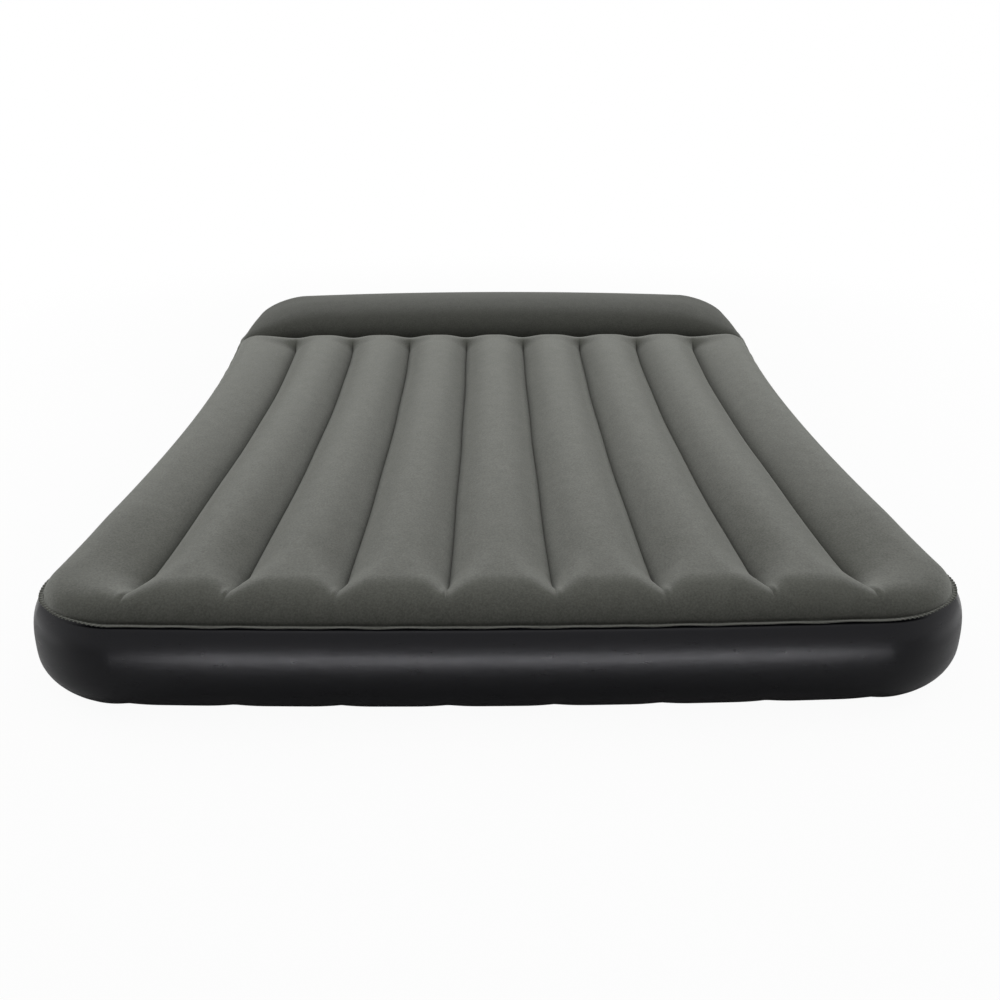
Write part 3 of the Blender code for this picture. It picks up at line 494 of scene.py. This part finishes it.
def rubber_finish(name):
    """Matt rubber with a dusty bloom."""
    made = new_finish(name)
    bloom = made.noise(scale=80.0, detail=4.0, roughness=0.6)
    tone = made.blend(bloom, (0.012, 0.012, 0.012), (0.026, 0.026, 0.025))
    made.surface(
        base_color=tone,
        roughness=bloom * 0.2 + 0.65,
        normal=made.bump(bloom, distance=0.0002, strength=0.4),
    )


def steel_finish(name):
    """Plated steel with fine turning marks."""
    made = new_finish(name)
    marks = made.noise(scale=900.0, detail=2.0, roughness=0.5)
    tone = made.blend(marks, (0.5, 0.5, 0.51), (0.66, 0.66, 0.67))
    made.surface(base_color=tone, metallic=1.0, roughness=marks * 0.2 + 0.22)


def winding_finish(name):
    """Copper windings in varnish."""
    made = new_finish(name)
    settings = {"wave_type": "BANDS", "bands_direction": "Y"}
    turns = made.node("TexWave", settings, {"Vector": made.place(), "Scale": 400.0, "Distortion": 1.0}, "Fac")
    tone = made.blend(turns, (0.25, 0.09, 0.04), (0.55, 0.24, 0.1))
    made.surface(
        base_color=tone,
        metallic=0.7,
        roughness=turns * 0.2 + 0.3,
        normal=made.bump(turns, distance=0.0003, strength=0.6),
    )


def can_finish(name):
    """Zinc-plated motor can."""
    made = new_finish(name)
    spangle = made.noise(scale=120.0, detail=3.0, roughness=0.6)
    tone = made.blend(spangle, (0.26, 0.27, 0.28), (0.38, 0.39, 0.4))
    made.surface(base_color=tone, metallic=0.6, roughness=spangle * 0.2 + 0.3)


def smooth_step(value):
    """Ease from 0 to 1 as the value goes from 0 to 1."""
    value = np.clip(value, 0.0, 1.0)
    return value * value * (3 - 2 * value)


def roll(distance, length):
    """Quarter-ellipse rise from 0 at an edge to 1 at the given distance inside it."""
    share = 1 - np.clip(distance / length, 0.0, 1.0)
    return np.sqrt(1 - share * share)


def waist(y):
    """How much of the waist is taken in at a place along the bed, from 0 to 1."""
    centre = (WAIST_START + WAIST_END) / 2
    share = (y - centre) / (WAIST_END - centre)
    return np.maximum(1 - share * share, 0.0)


def side(y):
    """Half width of the seam, before its corners are rounded."""
    return SEAM_X - WAIST * waist(y)


def pitch(y):
    """Distance between grooves."""
    return END_PITCH - CHANNEL_WAIST * waist(y) / HALF_GROOVES


def bow(x, y):
    """Shift along the bed that bows the foot and head ends outward in the middle."""
    near = smooth_step((np.abs(y) - SEAM_Y + END_BOW_LENGTH) / END_BOW_LENGTH)
    return -np.sign(y) * END_BOW * (x / SEAM_X) ** 2 * near


def edge_distance(x, y):
    """Distance inside the seam outline."""
    across = side(y) - np.abs(x)
    along = SEAM_Y - np.abs(y)
    corner = CORNER_RADIUS - np.hypot(CORNER_RADIUS - across, CORNER_RADIUS - along)
    inside = (across < CORNER_RADIUS) & (along < CORNER_RADIUS)
    return np.maximum(np.where(inside, corner, np.minimum(across, along)), 0.0)


def round_corners(x, y):
    """Move the points of a square-cornered outline onto one with round corners."""
    inner_x = side(y) - CORNER_RADIUS
    inner_y = SEAM_Y - CORNER_RADIUS
    a = np.clip((np.abs(x) - inner_x) / CORNER_RADIUS, 0.0, 1.0)
    b = np.clip((np.abs(y) - inner_y) / CORNER_RADIUS, 0.0, 1.0)
    x_in = a * CORNER_RADIUS * (1 - np.sqrt(1 - b * b / 2))
    y_in = b * CORNER_RADIUS * (1 - np.sqrt(1 - a * a / 2))
    return x - np.sign(x) * x_in, y - np.sign(y) * y_in


def graded(start, stop, steps):
    """Values from start to stop; steps gives the spacing wanted at a value."""
    values = [start]
    while values[-1] < stop:
        values.append(values[-1] + steps(values[-1]))
    values = np.array(values)
    return start + (values - start) * (stop - start) / (values[-1] - start)


def spread(distance, finest, growth, widest):
    """Spacing of points that grows with their distance from an edge."""
    return min(finest + growth * distance, widest)


def sheet_object(name, points, material, closed=False, skip=None):
    """A sheet of quads through a grid of points, with its thickness inward."""
    rows, columns = points.shape[:2]
    wrap = columns if closed else columns - 1
    first = np.arange(rows - 1)[:, None] * columns + np.arange(wrap)[None, :]
    right = np.arange(rows - 1)[:, None] * columns + (np.arange(wrap)[None, :] + 1) % columns
    quads = np.stack([first, right, right + columns, first + columns], axis=-1).reshape(-1, 4)
    if skip is not None:
        quads = quads[~skip.reshape(-1)]
    mesh = bpy.data.meshes.new(name)
    mesh.from_pydata(points.reshape(-1, 3).tolist(), [], quads.tolist())
    work = bmesh.new()
    work.from_mesh(mesh)
    loose = [vert for vert in work.verts if not vert.link_faces]
    bmesh.ops.delete(work, geom=loose, context="VERTS")
    work.to_mesh(mesh)
    work.free()
    mesh.shade_smooth()
    mesh.materials.append(material)
    made = bpy.data.objects.new(name, mesh)
    bpy.context.scene.collection.objects.link(made)
    solid = made.modifiers.new("thickness", "SOLIDIFY")
    solid.thickness = SHEET
    solid.offset = -1
    return made


def groove_line(index, y):
    """Sideways place of one groove along the bed, with an outward flick at its tip."""
    number = index - HALF_GROOVES
    wander = WANDER * np.sin(2 * math.pi * y / WANDER_LENGTH + WANDER_PHASE * index)
    tip = 1 - np.clip((y + SEAM_Y - TIP_CREASE) / (TIP_START + TIP_LENGTH - TIP_CREASE), 0.0, 1.0)
    flick = TIP_FLICK * number / HALF_GROOVES + TIP_SCATTER * math.sin(TIP_PHASE * index)
    pinch = FOOT_PINCH * int(number / HALF_GROOVES) * smooth_step((FOOT_PINCH_START - y) / FOOT_PINCH_LENGTH)
    drift = HEAD_DRIFT * (1 - number / HALF_GROOVES) * smooth_step((y + SEAM_Y) / HEAD_DRIFT_LENGTH)
    return number * pitch(y) + wander + flick * tip * tip - pinch + drift


def arch(share):
    """Height of a channel's round top, from 0 at its groove to 1 half a pitch away."""
    across = (1 - 2 * np.minimum(share, 0.5)) * math.sin(ARCH_ANGLE)
    low = math.cos(ARCH_ANGLE)
    return (np.sqrt(1 - across * across) - low) / (1 - low)


def channel_columns():
    """Places across the bed as (channel, share of its width), close together at the grooves."""
    shares = [(1 - math.cos(math.pi * step / CHANNEL_STEPS)) / 2 for step in range(CHANNEL_STEPS)]
    columns = [(channel, share) for channel in range(CHANNELS) for share in shares]
    return columns + [(CHANNELS - 1, 1.0)]


def channel_grid(y):
    """Square-cornered places across the bed for each row.

    A second grid has each column's distance from its groove in pitches, and a third one the distance on the
    outer side of each groove, where the fold at its tip lies.
    """
    x = []
    away = []
    outer = []
    step = pitch(y)
    for channel, share in channel_columns():
        left = groove_line(channel - 1, y) if channel else -side(y)
        right = groove_line(channel, y) if channel < CHANNELS - 1 else side(y)
        place = left + (right - left) * share
        x.append(place)
        wide = EDGE_VALLEY if channel in (0, CHANNELS - 1) else 1.0
        from_left = (place - left) / step * wide if channel else np.full_like(y, FAR_AWAY)
        from_right = (right - place) / step * wide if channel < CHANNELS - 1 else np.full_like(y, FAR_AWAY)
        away.append(np.minimum(from_left, from_right))
        if channel < HALF_GROOVES:
            outer.append(from_right)
        elif channel > HALF_GROOVES + 1:
            outer.append(from_left)
        else:
            outer.append(FAR_AWAY + from_left)
    return np.array(x).T, np.array(away).T, np.array(outer).T


def flocked_top_points(shape):
    """Grid of points over the channels, from the foot seam to the crease before the pillow.

    A second grid says how much painted crease shade darkens the pile along the welds.
    """
    def spacing(y):
        foot = y + SEAM_Y
        head = CREASE_Y - y
        widest = 0.0035 if foot < 0.14 or head < 0.12 else 0.02
        from_foot = spread(foot, finest=0.0012, growth=0.07, widest=widest)
        return min(from_foot, spread(head, finest=0.0013, growth=0.07, widest=widest))

    y = graded(-SEAM_Y, CREASE_Y, spacing)
    x_square, away, outer = channel_grid(y)
    y_square = np.repeat(y[:, None], x_square.shape[1], axis=1)
    x, y = round_corners(x_square, y_square)
    foot = y_square + SEAM_Y
    head = CREASE_Y - y_square

    # The roll down to the seam, tighter and lower in the foot corners, and to the crease
    length = EDGE_ROLL + (SIDE_ROLL - EDGE_ROLL) * smooth_step(foot / SIDE_ROLL_START)
    flank = side(y_square) - np.abs(x_square)
    corner = smooth_step(1 - foot / CORNER_REACH) * smooth_step(1 - flank / CORNER_REACH)
    edge = roll(edge_distance(x, y), length - CORNER_TIGHTEN * corner)
    fall = np.clip(1 - foot / CORNER_FALL_LENGTH, 0.0, 1.0) ** CORNER_FALL_POWER
    edge = edge * (1 - CORNER_FALL * smooth_step(1 - flank / CORNER_FALL_WIDTH) * fall)
    crease = smooth_step((CREASE_Y - y) / CHANNEL_END_ROLL)

    # The valleys over the welds, narrow at their tips and shallow scallops before the pillow
    free = 1 - smooth_step((foot - TIP_START) / TIP_LENGTH)
    full = smooth_step((head - HEAD_PIT) / HEAD_PIT_LENGTH)
    held = (1 - free) * crease
    width = TIP_WIDTH + (1 - TIP_WIDTH) * smooth_step((foot - TIP_START) / TIP_SPREAD)
    soft = VALLEY_SOFT + TIP_SOFT * free
    valley = 1 - arch((np.sqrt(away * away + soft * soft) - soft) / width)
    scallop = (0.5 + 0.5 * np.cos(2 * math.pi * np.minimum(away, 0.5))) ** HEAD_SCALLOP_POWER
    scallop = HEAD_SCALLOP * scallop
    valley = scallop + (valley - scallop) * full
    open_head = smooth_step((head - HEAD_PIT) / HEAD_FADE)
    welded = smooth_step((foot - TIP_CREASE) / TIP_FADE) * open_head
    crease_line = np.exp(-np.minimum(away, FAR_AWAY) * END_PITCH / CREASE_WIDTH) * welded
    sink = CHANNEL_END_SINK * smooth_step(1 - head / CHANNEL_END_REACH)
    rise = (shape.crest_rise - sink) * edge * crease - CREASE_DROP * edge * (1 - crease)
    depth = shape.groove_depth - sink
    z = SEAM_HEIGHT + rise - depth * edge * valley * held - shape.crease_depth * edge * crease_line

    # A fold beside each tip, and the painted crease shade along the welds
    along = (foot - TIP_FOLD_PLACE) / TIP_FOLD_REACH
    beside = (outer * END_PITCH - TIP_FOLD_OFFSET) / TIP_FOLD_WIDTH
    z = z + TIP_FOLD * np.exp(-(beside**2) - along * along)
    flat = smooth_step((foot - TIP_FOLD_PLACE) / WELD_SHADE_FADE) * open_head
    painted_crease_shade = np.exp(-((np.minimum(away, FAR_AWAY) * END_PITCH / WELD_SHADE_WIDTH) ** 2)) * flat
    return np.stack([x, y + bow(x, y), z], axis=-1), painted_crease_shade


def pillow_points():
    """Grid of points over the pillow roll, from the crease to the head seam."""
    def spacing(y):
        return spread(SEAM_Y - y, finest=0.0015, growth=0.08, widest=0.01)

    def spacing_x(x):
        return spread(SEAM_X - abs(x), finest=0.0015, growth=0.07, widest=0.014)

    turns = np.linspace(PILLOW_TUCK, math.pi / 2, PILLOW_STEPS)
    front = CREASE_Y + PILLOW_FRONT_ROLL * (math.cos(PILLOW_TUCK) - np.cos(turns))
    lift = (np.sin(turns) - math.sin(PILLOW_TUCK)) / (1 - math.sin(PILLOW_TUCK))
    back = graded(front[-1], SEAM_Y, spacing)[1:]
    y = np.concatenate([front, back])
    lift = np.concatenate([lift, np.ones_like(back)])[:, None]
    shares = graded(-SEAM_X, SEAM_X, spacing_x) / SEAM_X
    x_square = side(np.maximum(y, CREASE_Y))[:, None] * shares[None, :]
    y_square = np.repeat(y[:, None], len(shares), axis=1)
    x, y = round_corners(x_square, y_square)
    edge = edge_distance(x, np.maximum(y, CREASE_Y))
    y = CREASE_Y + (y - CREASE_Y) * np.where(y < CREASE_Y, roll(edge, EDGE_ROLL), 1.0)
    crown = PILLOW_TOP - SEAM_HEIGHT - PILLOW_ARCH * (x / SEAM_X) ** 2
    rise = crown * roll(edge, PILLOW_EDGE_ROLL) * lift
    z = SEAM_HEIGHT + rise - CREASE_DROP * roll(edge, EDGE_ROLL) * (1 - lift)
    return np.stack([x, y + bow(x, y), z], axis=-1)


def seam_path():
    """Points, outward directions and share of corner round the seam, anticlockwise from the foot's middle."""
    def spacing(place, half):
        return CORNER_STEP if half - abs(place) < CORNER_RADIUS else SEAM_STEP

    along = graded(-SEAM_Y, SEAM_Y, lambda y: spacing(y, SEAM_Y))
    pump = [PUMP_Y - WINDOW_WIDTH / 2, PUMP_Y + WINDOW_WIDTH / 2]
    along = np.unique(np.round(np.concatenate([along, pump]), 6))
    across = graded(-SEAM_X, SEAM_X, lambda x: spacing(x, SEAM_X))[1:-1]
    end = np.full_like(across, SEAM_Y)
    x = np.concatenate([side(along), across[::-1], -side(along[::-1]), across])
    y = np.concatenate([along, end, along[::-1], -end])
    shift = len(x) - len(across) // 2
    x, y = np.roll(x, -shift), np.roll(y, -shift)
    near = np.minimum(1 - (side(y) - np.abs(x)) / CORNER_RADIUS, 1 - (SEAM_Y - np.abs(y)) / CORNER_RADIUS)
    near = np.clip(near, 0.0, 1.0)
    x, y = round_corners(x, y)
    y = y + bow(x, y)
    ahead_x = np.roll(x, -1) - np.roll(x, 1)
    ahead_y = np.roll(y, -1) - np.roll(y, 1)
    length = np.hypot(ahead_x, ahead_y)
    return x, y, ahead_y / length, -ahead_x / length, near * np.sqrt(2 - near * near)


def lip_wave(shape, x, y, corner):
    """Height of the lip's ripples round the seam."""
    run = np.concatenate([[0.0], np.cumsum(np.hypot(np.diff(x), np.diff(y)))])
    puckers = 2 * math.pi * shape.corner_puckers / (CORNER_RADIUS * math.pi / 2)
    turn = 2 * math.pi * run / run[-1]
    soft = sum(height * np.sin(count * turn + phase) for height, count, phase in LIP_RIPPLES)
    return soft + shape.pucker_height * np.sqrt(corner) * np.sin(puckers * run)


def lip_width(shape, corner):
    """Width of the lip, which is gathered in round the corners."""
    return shape.lip_width * (1 - LIP_GATHER * corner)


def wall_points(shape):
    """Grid of points down the wall, from the lip to the floor flange, closed round the bed."""
    x, y, out_x, out_y, corner = seam_path()
    wave = lip_wave(shape, x, y, corner)
    middle = (WALL_FOOT + WALL_HEAD) / 2
    half = (WALL_HEAD - WALL_FOOT) / 2
    width = lip_width(shape, corner)
    rows = [(width * share, SEAM_HEIGHT - SHEET + height, ripple) for share, height, ripple in WALL_LIP_ROWS]
    window = [math.asin((PUMP_Z + share * WINDOW_HEIGHT - middle) / half) for share in (0.5, -0.5)]
    marks = [math.pi / 2 * WALL_START, *window, -math.pi / 2]
    runs = [np.linspace(*ends, count) for *ends, count in zip(marks, marks[1:], WALL_STEPS)]
    angles = np.concatenate([runs[0], runs[1][1:], runs[2][1:]])
    for angle in angles:
        inset = WALL_FOOT_INSET if angle < 0 else 0.0
        rows.append(((WALL_BULGE + inset) * math.cos(angle) - inset, middle + half * math.sin(angle), 0.0))
    rows.append((-WALL_FOOT_INSET - FLOOR_FLANGE, WALL_FOOT, 0.0))
    cap = PUMP_PLANE + PUMP_SWELL * smooth_step((np.abs(y - PUMP_Y) - PUMP_FLAT) / PUMP_EASE)
    cap = np.where(x > 0, cap, np.inf)
    across = np.mod(x / pitch(y) + 0.5, 1.0)
    lobe = np.maximum(1 - np.minimum(across, 1 - across) / FOOT_LOBE_WIDTH, 0.0) ** 2
    at_ends = np.abs(out_y) > 0.5
    lobe = lobe * smooth_step((SEAM_X - np.abs(x)) / CORNER_RADIUS) * at_ends
    grid = []
    for out, height, share in rows:
        tuck = CORNER_TUCK * corner * smooth_step((height - CORNER_TUCK_START) / CORNER_TUCK_LENGTH)
        out = out * (1 - tuck)
        drop = SHOULDER_DROP * corner * smooth_step((height - SHOULDER_START) / SHOULDER_LENGTH)
        drop = drop * (height < WALL_HEAD)
        px = np.minimum(x + out_x * out, cap)
        lifted = height - drop + (wave - CORNER_SAG * corner) * share
        lifted = lifted + FOOT_LOBE * lobe * smooth_step(1 - height / FOOT_LOBE_HEIGHT)
        grid.append(np.stack([px, y + out_y * out, lifted], axis=-1))
    return np.array(grid[::-1])


def lip_points(shape):
    """Grid of points over the flocked lip, from just inside the seam to its outer edge."""
    x, y, out_x, out_y, corner = seam_path()
    wave = lip_wave(shape, x, y, corner)
    width = lip_width(shape, corner)
    grid = []
    for share, height, ripple in LIP_ROWS:
        raised = SEAM_HEIGHT + height + (wave - CORNER_SAG * corner) * ripple
        grid.append(np.stack([x + out_x * width * share, y + out_y * width * share, raised], axis=-1))
    return np.array(grid[::-1])


def floor_points():
    """Grid of points over the floor panel: flat lobes with the channels' grooves between them."""
    def spacing(y):
        return FLOOR_END_STEP if SEAM_Y - abs(y) < FLOOR_END else FLOOR_STEP

    y = graded(-SEAM_Y, SEAM_Y, spacing)
    x_square, away, _ = channel_grid(y)
    y_square = np.repeat(y[:, None], x_square.shape[1], axis=1)
    x, y = round_corners(x_square, y_square)
    foot_share = smooth_step((y_square + SEAM_Y - TIP_START) / TIP_LENGTH)
    head_share = smooth_step((CREASE_Y - y_square - TIP_START) / TIP_LENGTH)
    dip = np.maximum(1 - np.minimum(away, 0.5) / FLOOR_GROOVE_WIDTH, 0.0) ** 2
    z = FLOOR_GROOVE * dip * foot_share * head_share
    shrink_x = (SEAM_X - WALL_FOOT_INSET) / SEAM_X
    shrink_y = (SEAM_Y - WALL_FOOT_INSET) / SEAM_Y
    return np.stack([x * shrink_x, (y + bow(x, y)) * shrink_y, z], axis=-1)


def finish_piece(piece, slot, *nodes):
    """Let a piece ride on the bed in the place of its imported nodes."""
    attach(piece, BODY)
    if nodes:
        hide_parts(*nodes)


def material(name):
    """A finish made earlier."""
    return bpy.data.materials[name + ".look"]


class MATTRESS_OT_finishes(bpy.types.Operator):
    """Make the finishes of the skin and the pump"""

    bl_idname = "mattress.finishes"
    bl_label = "Finishes"

    def execute(self, context):
        finish = context.scene.mattress_finish
        flock_finish("flocked_vinyl", finish)
        # The pillow's flock is a darker copy of the top's: painted shade
        flock_finish("pillow_flock_painted_shade", finish, PILLOW_PAINTED_SHADE)
        vinyl_finish("black_vinyl", finish)
        vinyl_finish("inner_vinyl", finish, STRIP_LEVEL)
        plastic_finish("black_plastic", finish.plastic)
        plastic_finish("grey_plastic", finish.inner_plastic, roughness=0.5)
        rubber_finish("black_rubber")
        steel_finish("plated_steel")
        winding_finish("wound_core")
        can_finish("motor_paint")
        return {"FINISHED"}


class MATTRESS_OT_flocked_top(bpy.types.Operator):
    """Build the channelled top"""

    bl_idname = "mattress.flocked_top"
    bl_label = "Flocked Top"

    def execute(self, context):
        points, painted_crease_shade = flocked_top_points(context.scene.mattress_shape)
        piece = sheet_object("flocked_top", points, material("flocked_vinyl"))
        # Painted crease shade along the welds, kept on the points for the finish
        layer = piece.data.attributes.new("painted_crease_shade", "FLOAT", "POINT")
        layer.data.foreach_set("value", painted_crease_shade.ravel())
        finish_piece(piece, "flocked_vinyl", "top_sheet")
        return {"FINISHED"}


class MATTRESS_OT_pillow(bpy.types.Operator):
    """Build the raised pillow"""

    bl_idname = "mattress.pillow"
    bl_label = "Pillow"

    def execute(self, context):
        piece = sheet_object("flocked_pillow", pillow_points(), material("pillow_flock_painted_shade"))
        finish_piece(piece, "flocked_vinyl", "pillow_sheet")
        return {"FINISHED"}


class MATTRESS_OT_lip(bpy.types.Operator):
    """Build the welded lip round the seam"""

    bl_idname = "mattress.lip"
    bl_label = "Seam Lip"

    def execute(self, context):
        points = lip_points(context.scene.mattress_shape)
        piece = sheet_object("seam_lip", points, material("flocked_vinyl"), closed=True)
        finish_piece(piece, "flocked_vinyl")
        return {"FINISHED"}


class MATTRESS_OT_wall(bpy.types.Operator):
    """Build the bulging wall with the pump's window"""

    bl_idname = "mattress.wall"
    bl_label = "Wall"

    def execute(self, context):
        points = wall_points(context.scene.mattress_shape)
        following = np.roll(points, -1, axis=1)
        centre = (points[:-1] + points[1:] + following[:-1] + following[1:]) / 4
        window = (np.abs(centre[..., 1] - PUMP_Y) < WINDOW_WIDTH / 2) & (centre[..., 0] > 0)
        window &= np.abs(centre[..., 2] - PUMP_Z) < WINDOW_HEIGHT / 2
        piece = sheet_object("vinyl_wall", points, material("black_vinyl"), closed=True, skip=window)
        finish_piece(piece, "black_vinyl", "side_wall", "pump_wall")
        return {"FINISHED"}


class MATTRESS_OT_floor_panel(bpy.types.Operator):
    """Build the panel the bed lies on"""

    bl_idname = "mattress.floor_panel"
    bl_label = "Floor Panel"

    def execute(self, context):
        piece = sheet_object("vinyl_floor", floor_points()[::-1], material("black_vinyl"))
        finish_piece(piece, "black_vinyl", "bottom_sheet")
        return {"FINISHED"}


class MATTRESS_OT_pump(bpy.types.Operator):
    """Finish the pump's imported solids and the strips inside"""

    bl_idname = "mattress.pump"
    bl_label = "Pump and Strips"

    def execute(self, context):
        for row in frame["record"]["subparts"]:
            piece = frame["nodes"][row["node"]]
            piece.data.materials.clear()
            piece.data.materials.append(material(row["material_slot"]))
        return {"FINISHED"}


class MATTRESS_OT_stage(bpy.types.Operator):
    """Set the floor, the lights and the camera"""

    bl_idname = "mattress.stage"
    bl_label = "Stage"

    def execute(self, context):
        stage = context.scene.mattress_stage
        scene = context.scene
        scene.view_settings.view_transform = "Standard"
        floor = bpy.data.objects.new("studio_floor", bpy.data.meshes.new("studio_floor"))
        ways = [(-1, -1), (1, -1), (1, 1), (-1, 1)]
        corners = [(x * FLOOR_REACH, y * FLOOR_REACH, -FLOOR_DROP) for x, y in ways]
        floor.data.from_pydata(corners, [], [(0, 1, 2, 3)])
        scene.collection.objects.link(floor)
        floor.data.materials.append(floor_finish())
        scene.world = world_light(stage.surround)
        add_area("overhead_light", OVERHEAD_PLACE, (0.0, 0.0, 0.0), OVERHEAD_SIZE, stage.overhead)
        for name, way in (("left_light", -1), ("right_light", 1)):
            place = (SIDE_PLACE[0] * way, *SIDE_PLACE[1:])
            lamp = add_area(name, place, (0.0, way * SIDE_TILT, 0.0), SIDE_SIZE, stage.sides)
            lamp.visible_glossy = False
        for step, length in enumerate(CARD_LENGTHS):
            height = CARD_HEIGHT + CARD_STEP * step
            power = stage.cards * length / len(CARD_LENGTHS)
            for name, way in (("front_card", -1), ("back_card", 1)):
                add_card(f"{name}_{step + 1}", (CARD_X, CARD_Y * way, height), (length, CARD_WIDTH), power)
        for name, way in (("left_card", -1), ("right_card", 1)):
            place = (SIDE_CARD_X * way, 0.0, CARD_HEIGHT)
            add_card(name, place, SIDE_CARD_SIZE, stage.cards * SIDE_CARD_SHARE)
        lens = bpy.data.cameras.new("photo_camera")
        lens.sensor_width = SENSOR_WIDTH
        lens.lens = stage.lens
        camera = bpy.data.objects.new("photo_camera", lens)
        camera.location = CAMERA_PLACE
        camera.rotation_euler = CAMERA_TURN
        scene.collection.objects.link(camera)
        scene.camera = camera
        return {"FINISHED"}


def seen_directly(made):
    """Share of a ray that shows the background as such: straight, mirrored or through glass."""
    rays = ("Is Camera Ray", "Is Glossy Ray", "Is Transmission Ray")
    straight, mirrored, passed = (made.node("LightPath", output=ray) for ray in rays)
    return (straight + mirrored + passed).clamp()


def floor_finish():
    """Pale floor that keeps a soft shadow, also in reflections close to the bed."""
    made = Finish(bpy.data.materials.new("studio_floor"))
    grain = made.noise(scale=3.0, detail=2.0, roughness=0.5)
    tone = made.blend(grain, (0.78, 0.78, 0.78), (0.82, 0.82, 0.82))
    matt = made.node("BsdfDiffuse", None, {"Color": tone})
    glow = made.node("Emission", None, {"Color": (1.0, 1.0, 1.0, 1.0), "Strength": 1.0})
    away = made.node("VectorMath", {"operation": "LENGTH"}, {0: made.place()}, "Value")
    far = made.ease(away, start=FLOOR_FADE_START, stop=FLOOR_FADE_STOP)
    mirrored = made.node("LightPath", output="Is Glossy Ray")
    near = (1 - mirrored) * FLOOR_WHITE
    plain = far * (1 - near) + near
    made.close(made.node("MixShader", None, {0: seen_directly(made) * plain, 1: matt, 2: glow}))
    return made.owner


def world_light(strength):
    """White surround, seen at full strength and lighting at a lower one."""
    made = Finish(bpy.data.worlds.new("studio_world"))
    level = seen_directly(made) * (1.0 - strength) + strength
    glow = made.node("Background", None, {"Color": (1.0, 1.0, 1.0, 1.0), "Strength": level})
    made.close(glow, "OutputWorld")
    return made.owner


def add_area(name, location, rotation, size, power):
    """A soft rectangular light that the camera doesn't see."""
    light = bpy.data.lights.new(name, "AREA")
    light.shape = "RECTANGLE"
    light.size, light.size_y = size
    light.energy = power
    lamp = bpy.data.objects.new(name, light)
    lamp.location = location
    lamp.rotation_euler = rotation
    lamp.visible_camera = False
    bpy.context.scene.collection.objects.link(lamp)
    return lamp


def add_card(name, location, size, power):
    """A bright card on the floor, seen only in the gloss of the wall."""
    card = add_area(name, location, (math.pi, 0.0, 0.0), size, power)
    card.visible_diffuse = False


class MATTRESS_PT_panel(bpy.types.Panel):
    """Sidebar list of the mattress's settings and pieces"""

    bl_idname = "MATTRESS_PT_panel"
    bl_label = "Air Mattress"
    bl_space_type = "VIEW_3D"
    bl_region_type = "UI"
    bl_category = "Air Mattress"

    def draw(self, context):
        for name, group in GROUPS.items():
            for setting in group.__annotations__:
                self.layout.prop(getattr(context.scene, name), setting)
        for operator in STEPS:
            self.layout.operator(operator.bl_idname)


STEPS = (
    MATTRESS_OT_stage,
    MATTRESS_OT_finishes,
    MATTRESS_OT_flocked_top,
    MATTRESS_OT_pillow,
    MATTRESS_OT_lip,
    MATTRESS_OT_wall,
    MATTRESS_OT_floor_panel,
    MATTRESS_OT_pump,
)
GROUPS = {
    "mattress_shape": MattressShape,
    "mattress_finish": MattressFinish,
    "mattress_stage": MattressStage,
}


def register():
    """Add the settings, the operators and the panel."""
    for name, group in GROUPS.items():
        bpy.utils.register_class(group)
        setattr(bpy.types.Scene, name, PointerProperty(type=group))
    for item in STEPS + (MATTRESS_PT_panel,):
        bpy.utils.register_class(item)


def unregister():
    """Take them away again."""
    for item in reversed(STEPS + (MATTRESS_PT_panel,)):
        bpy.utils.unregister_class(item)
    for name, group in GROUPS.items():
        delattr(bpy.types.Scene, name)
        bpy.utils.unregister_class(group)


def main():
    """Build everything in order."""
    register()
    for operator in STEPS:
        getattr(bpy.ops.mattress, operator.bl_idname.split(".")[1])()


if __name__ == "__main__":
    main()
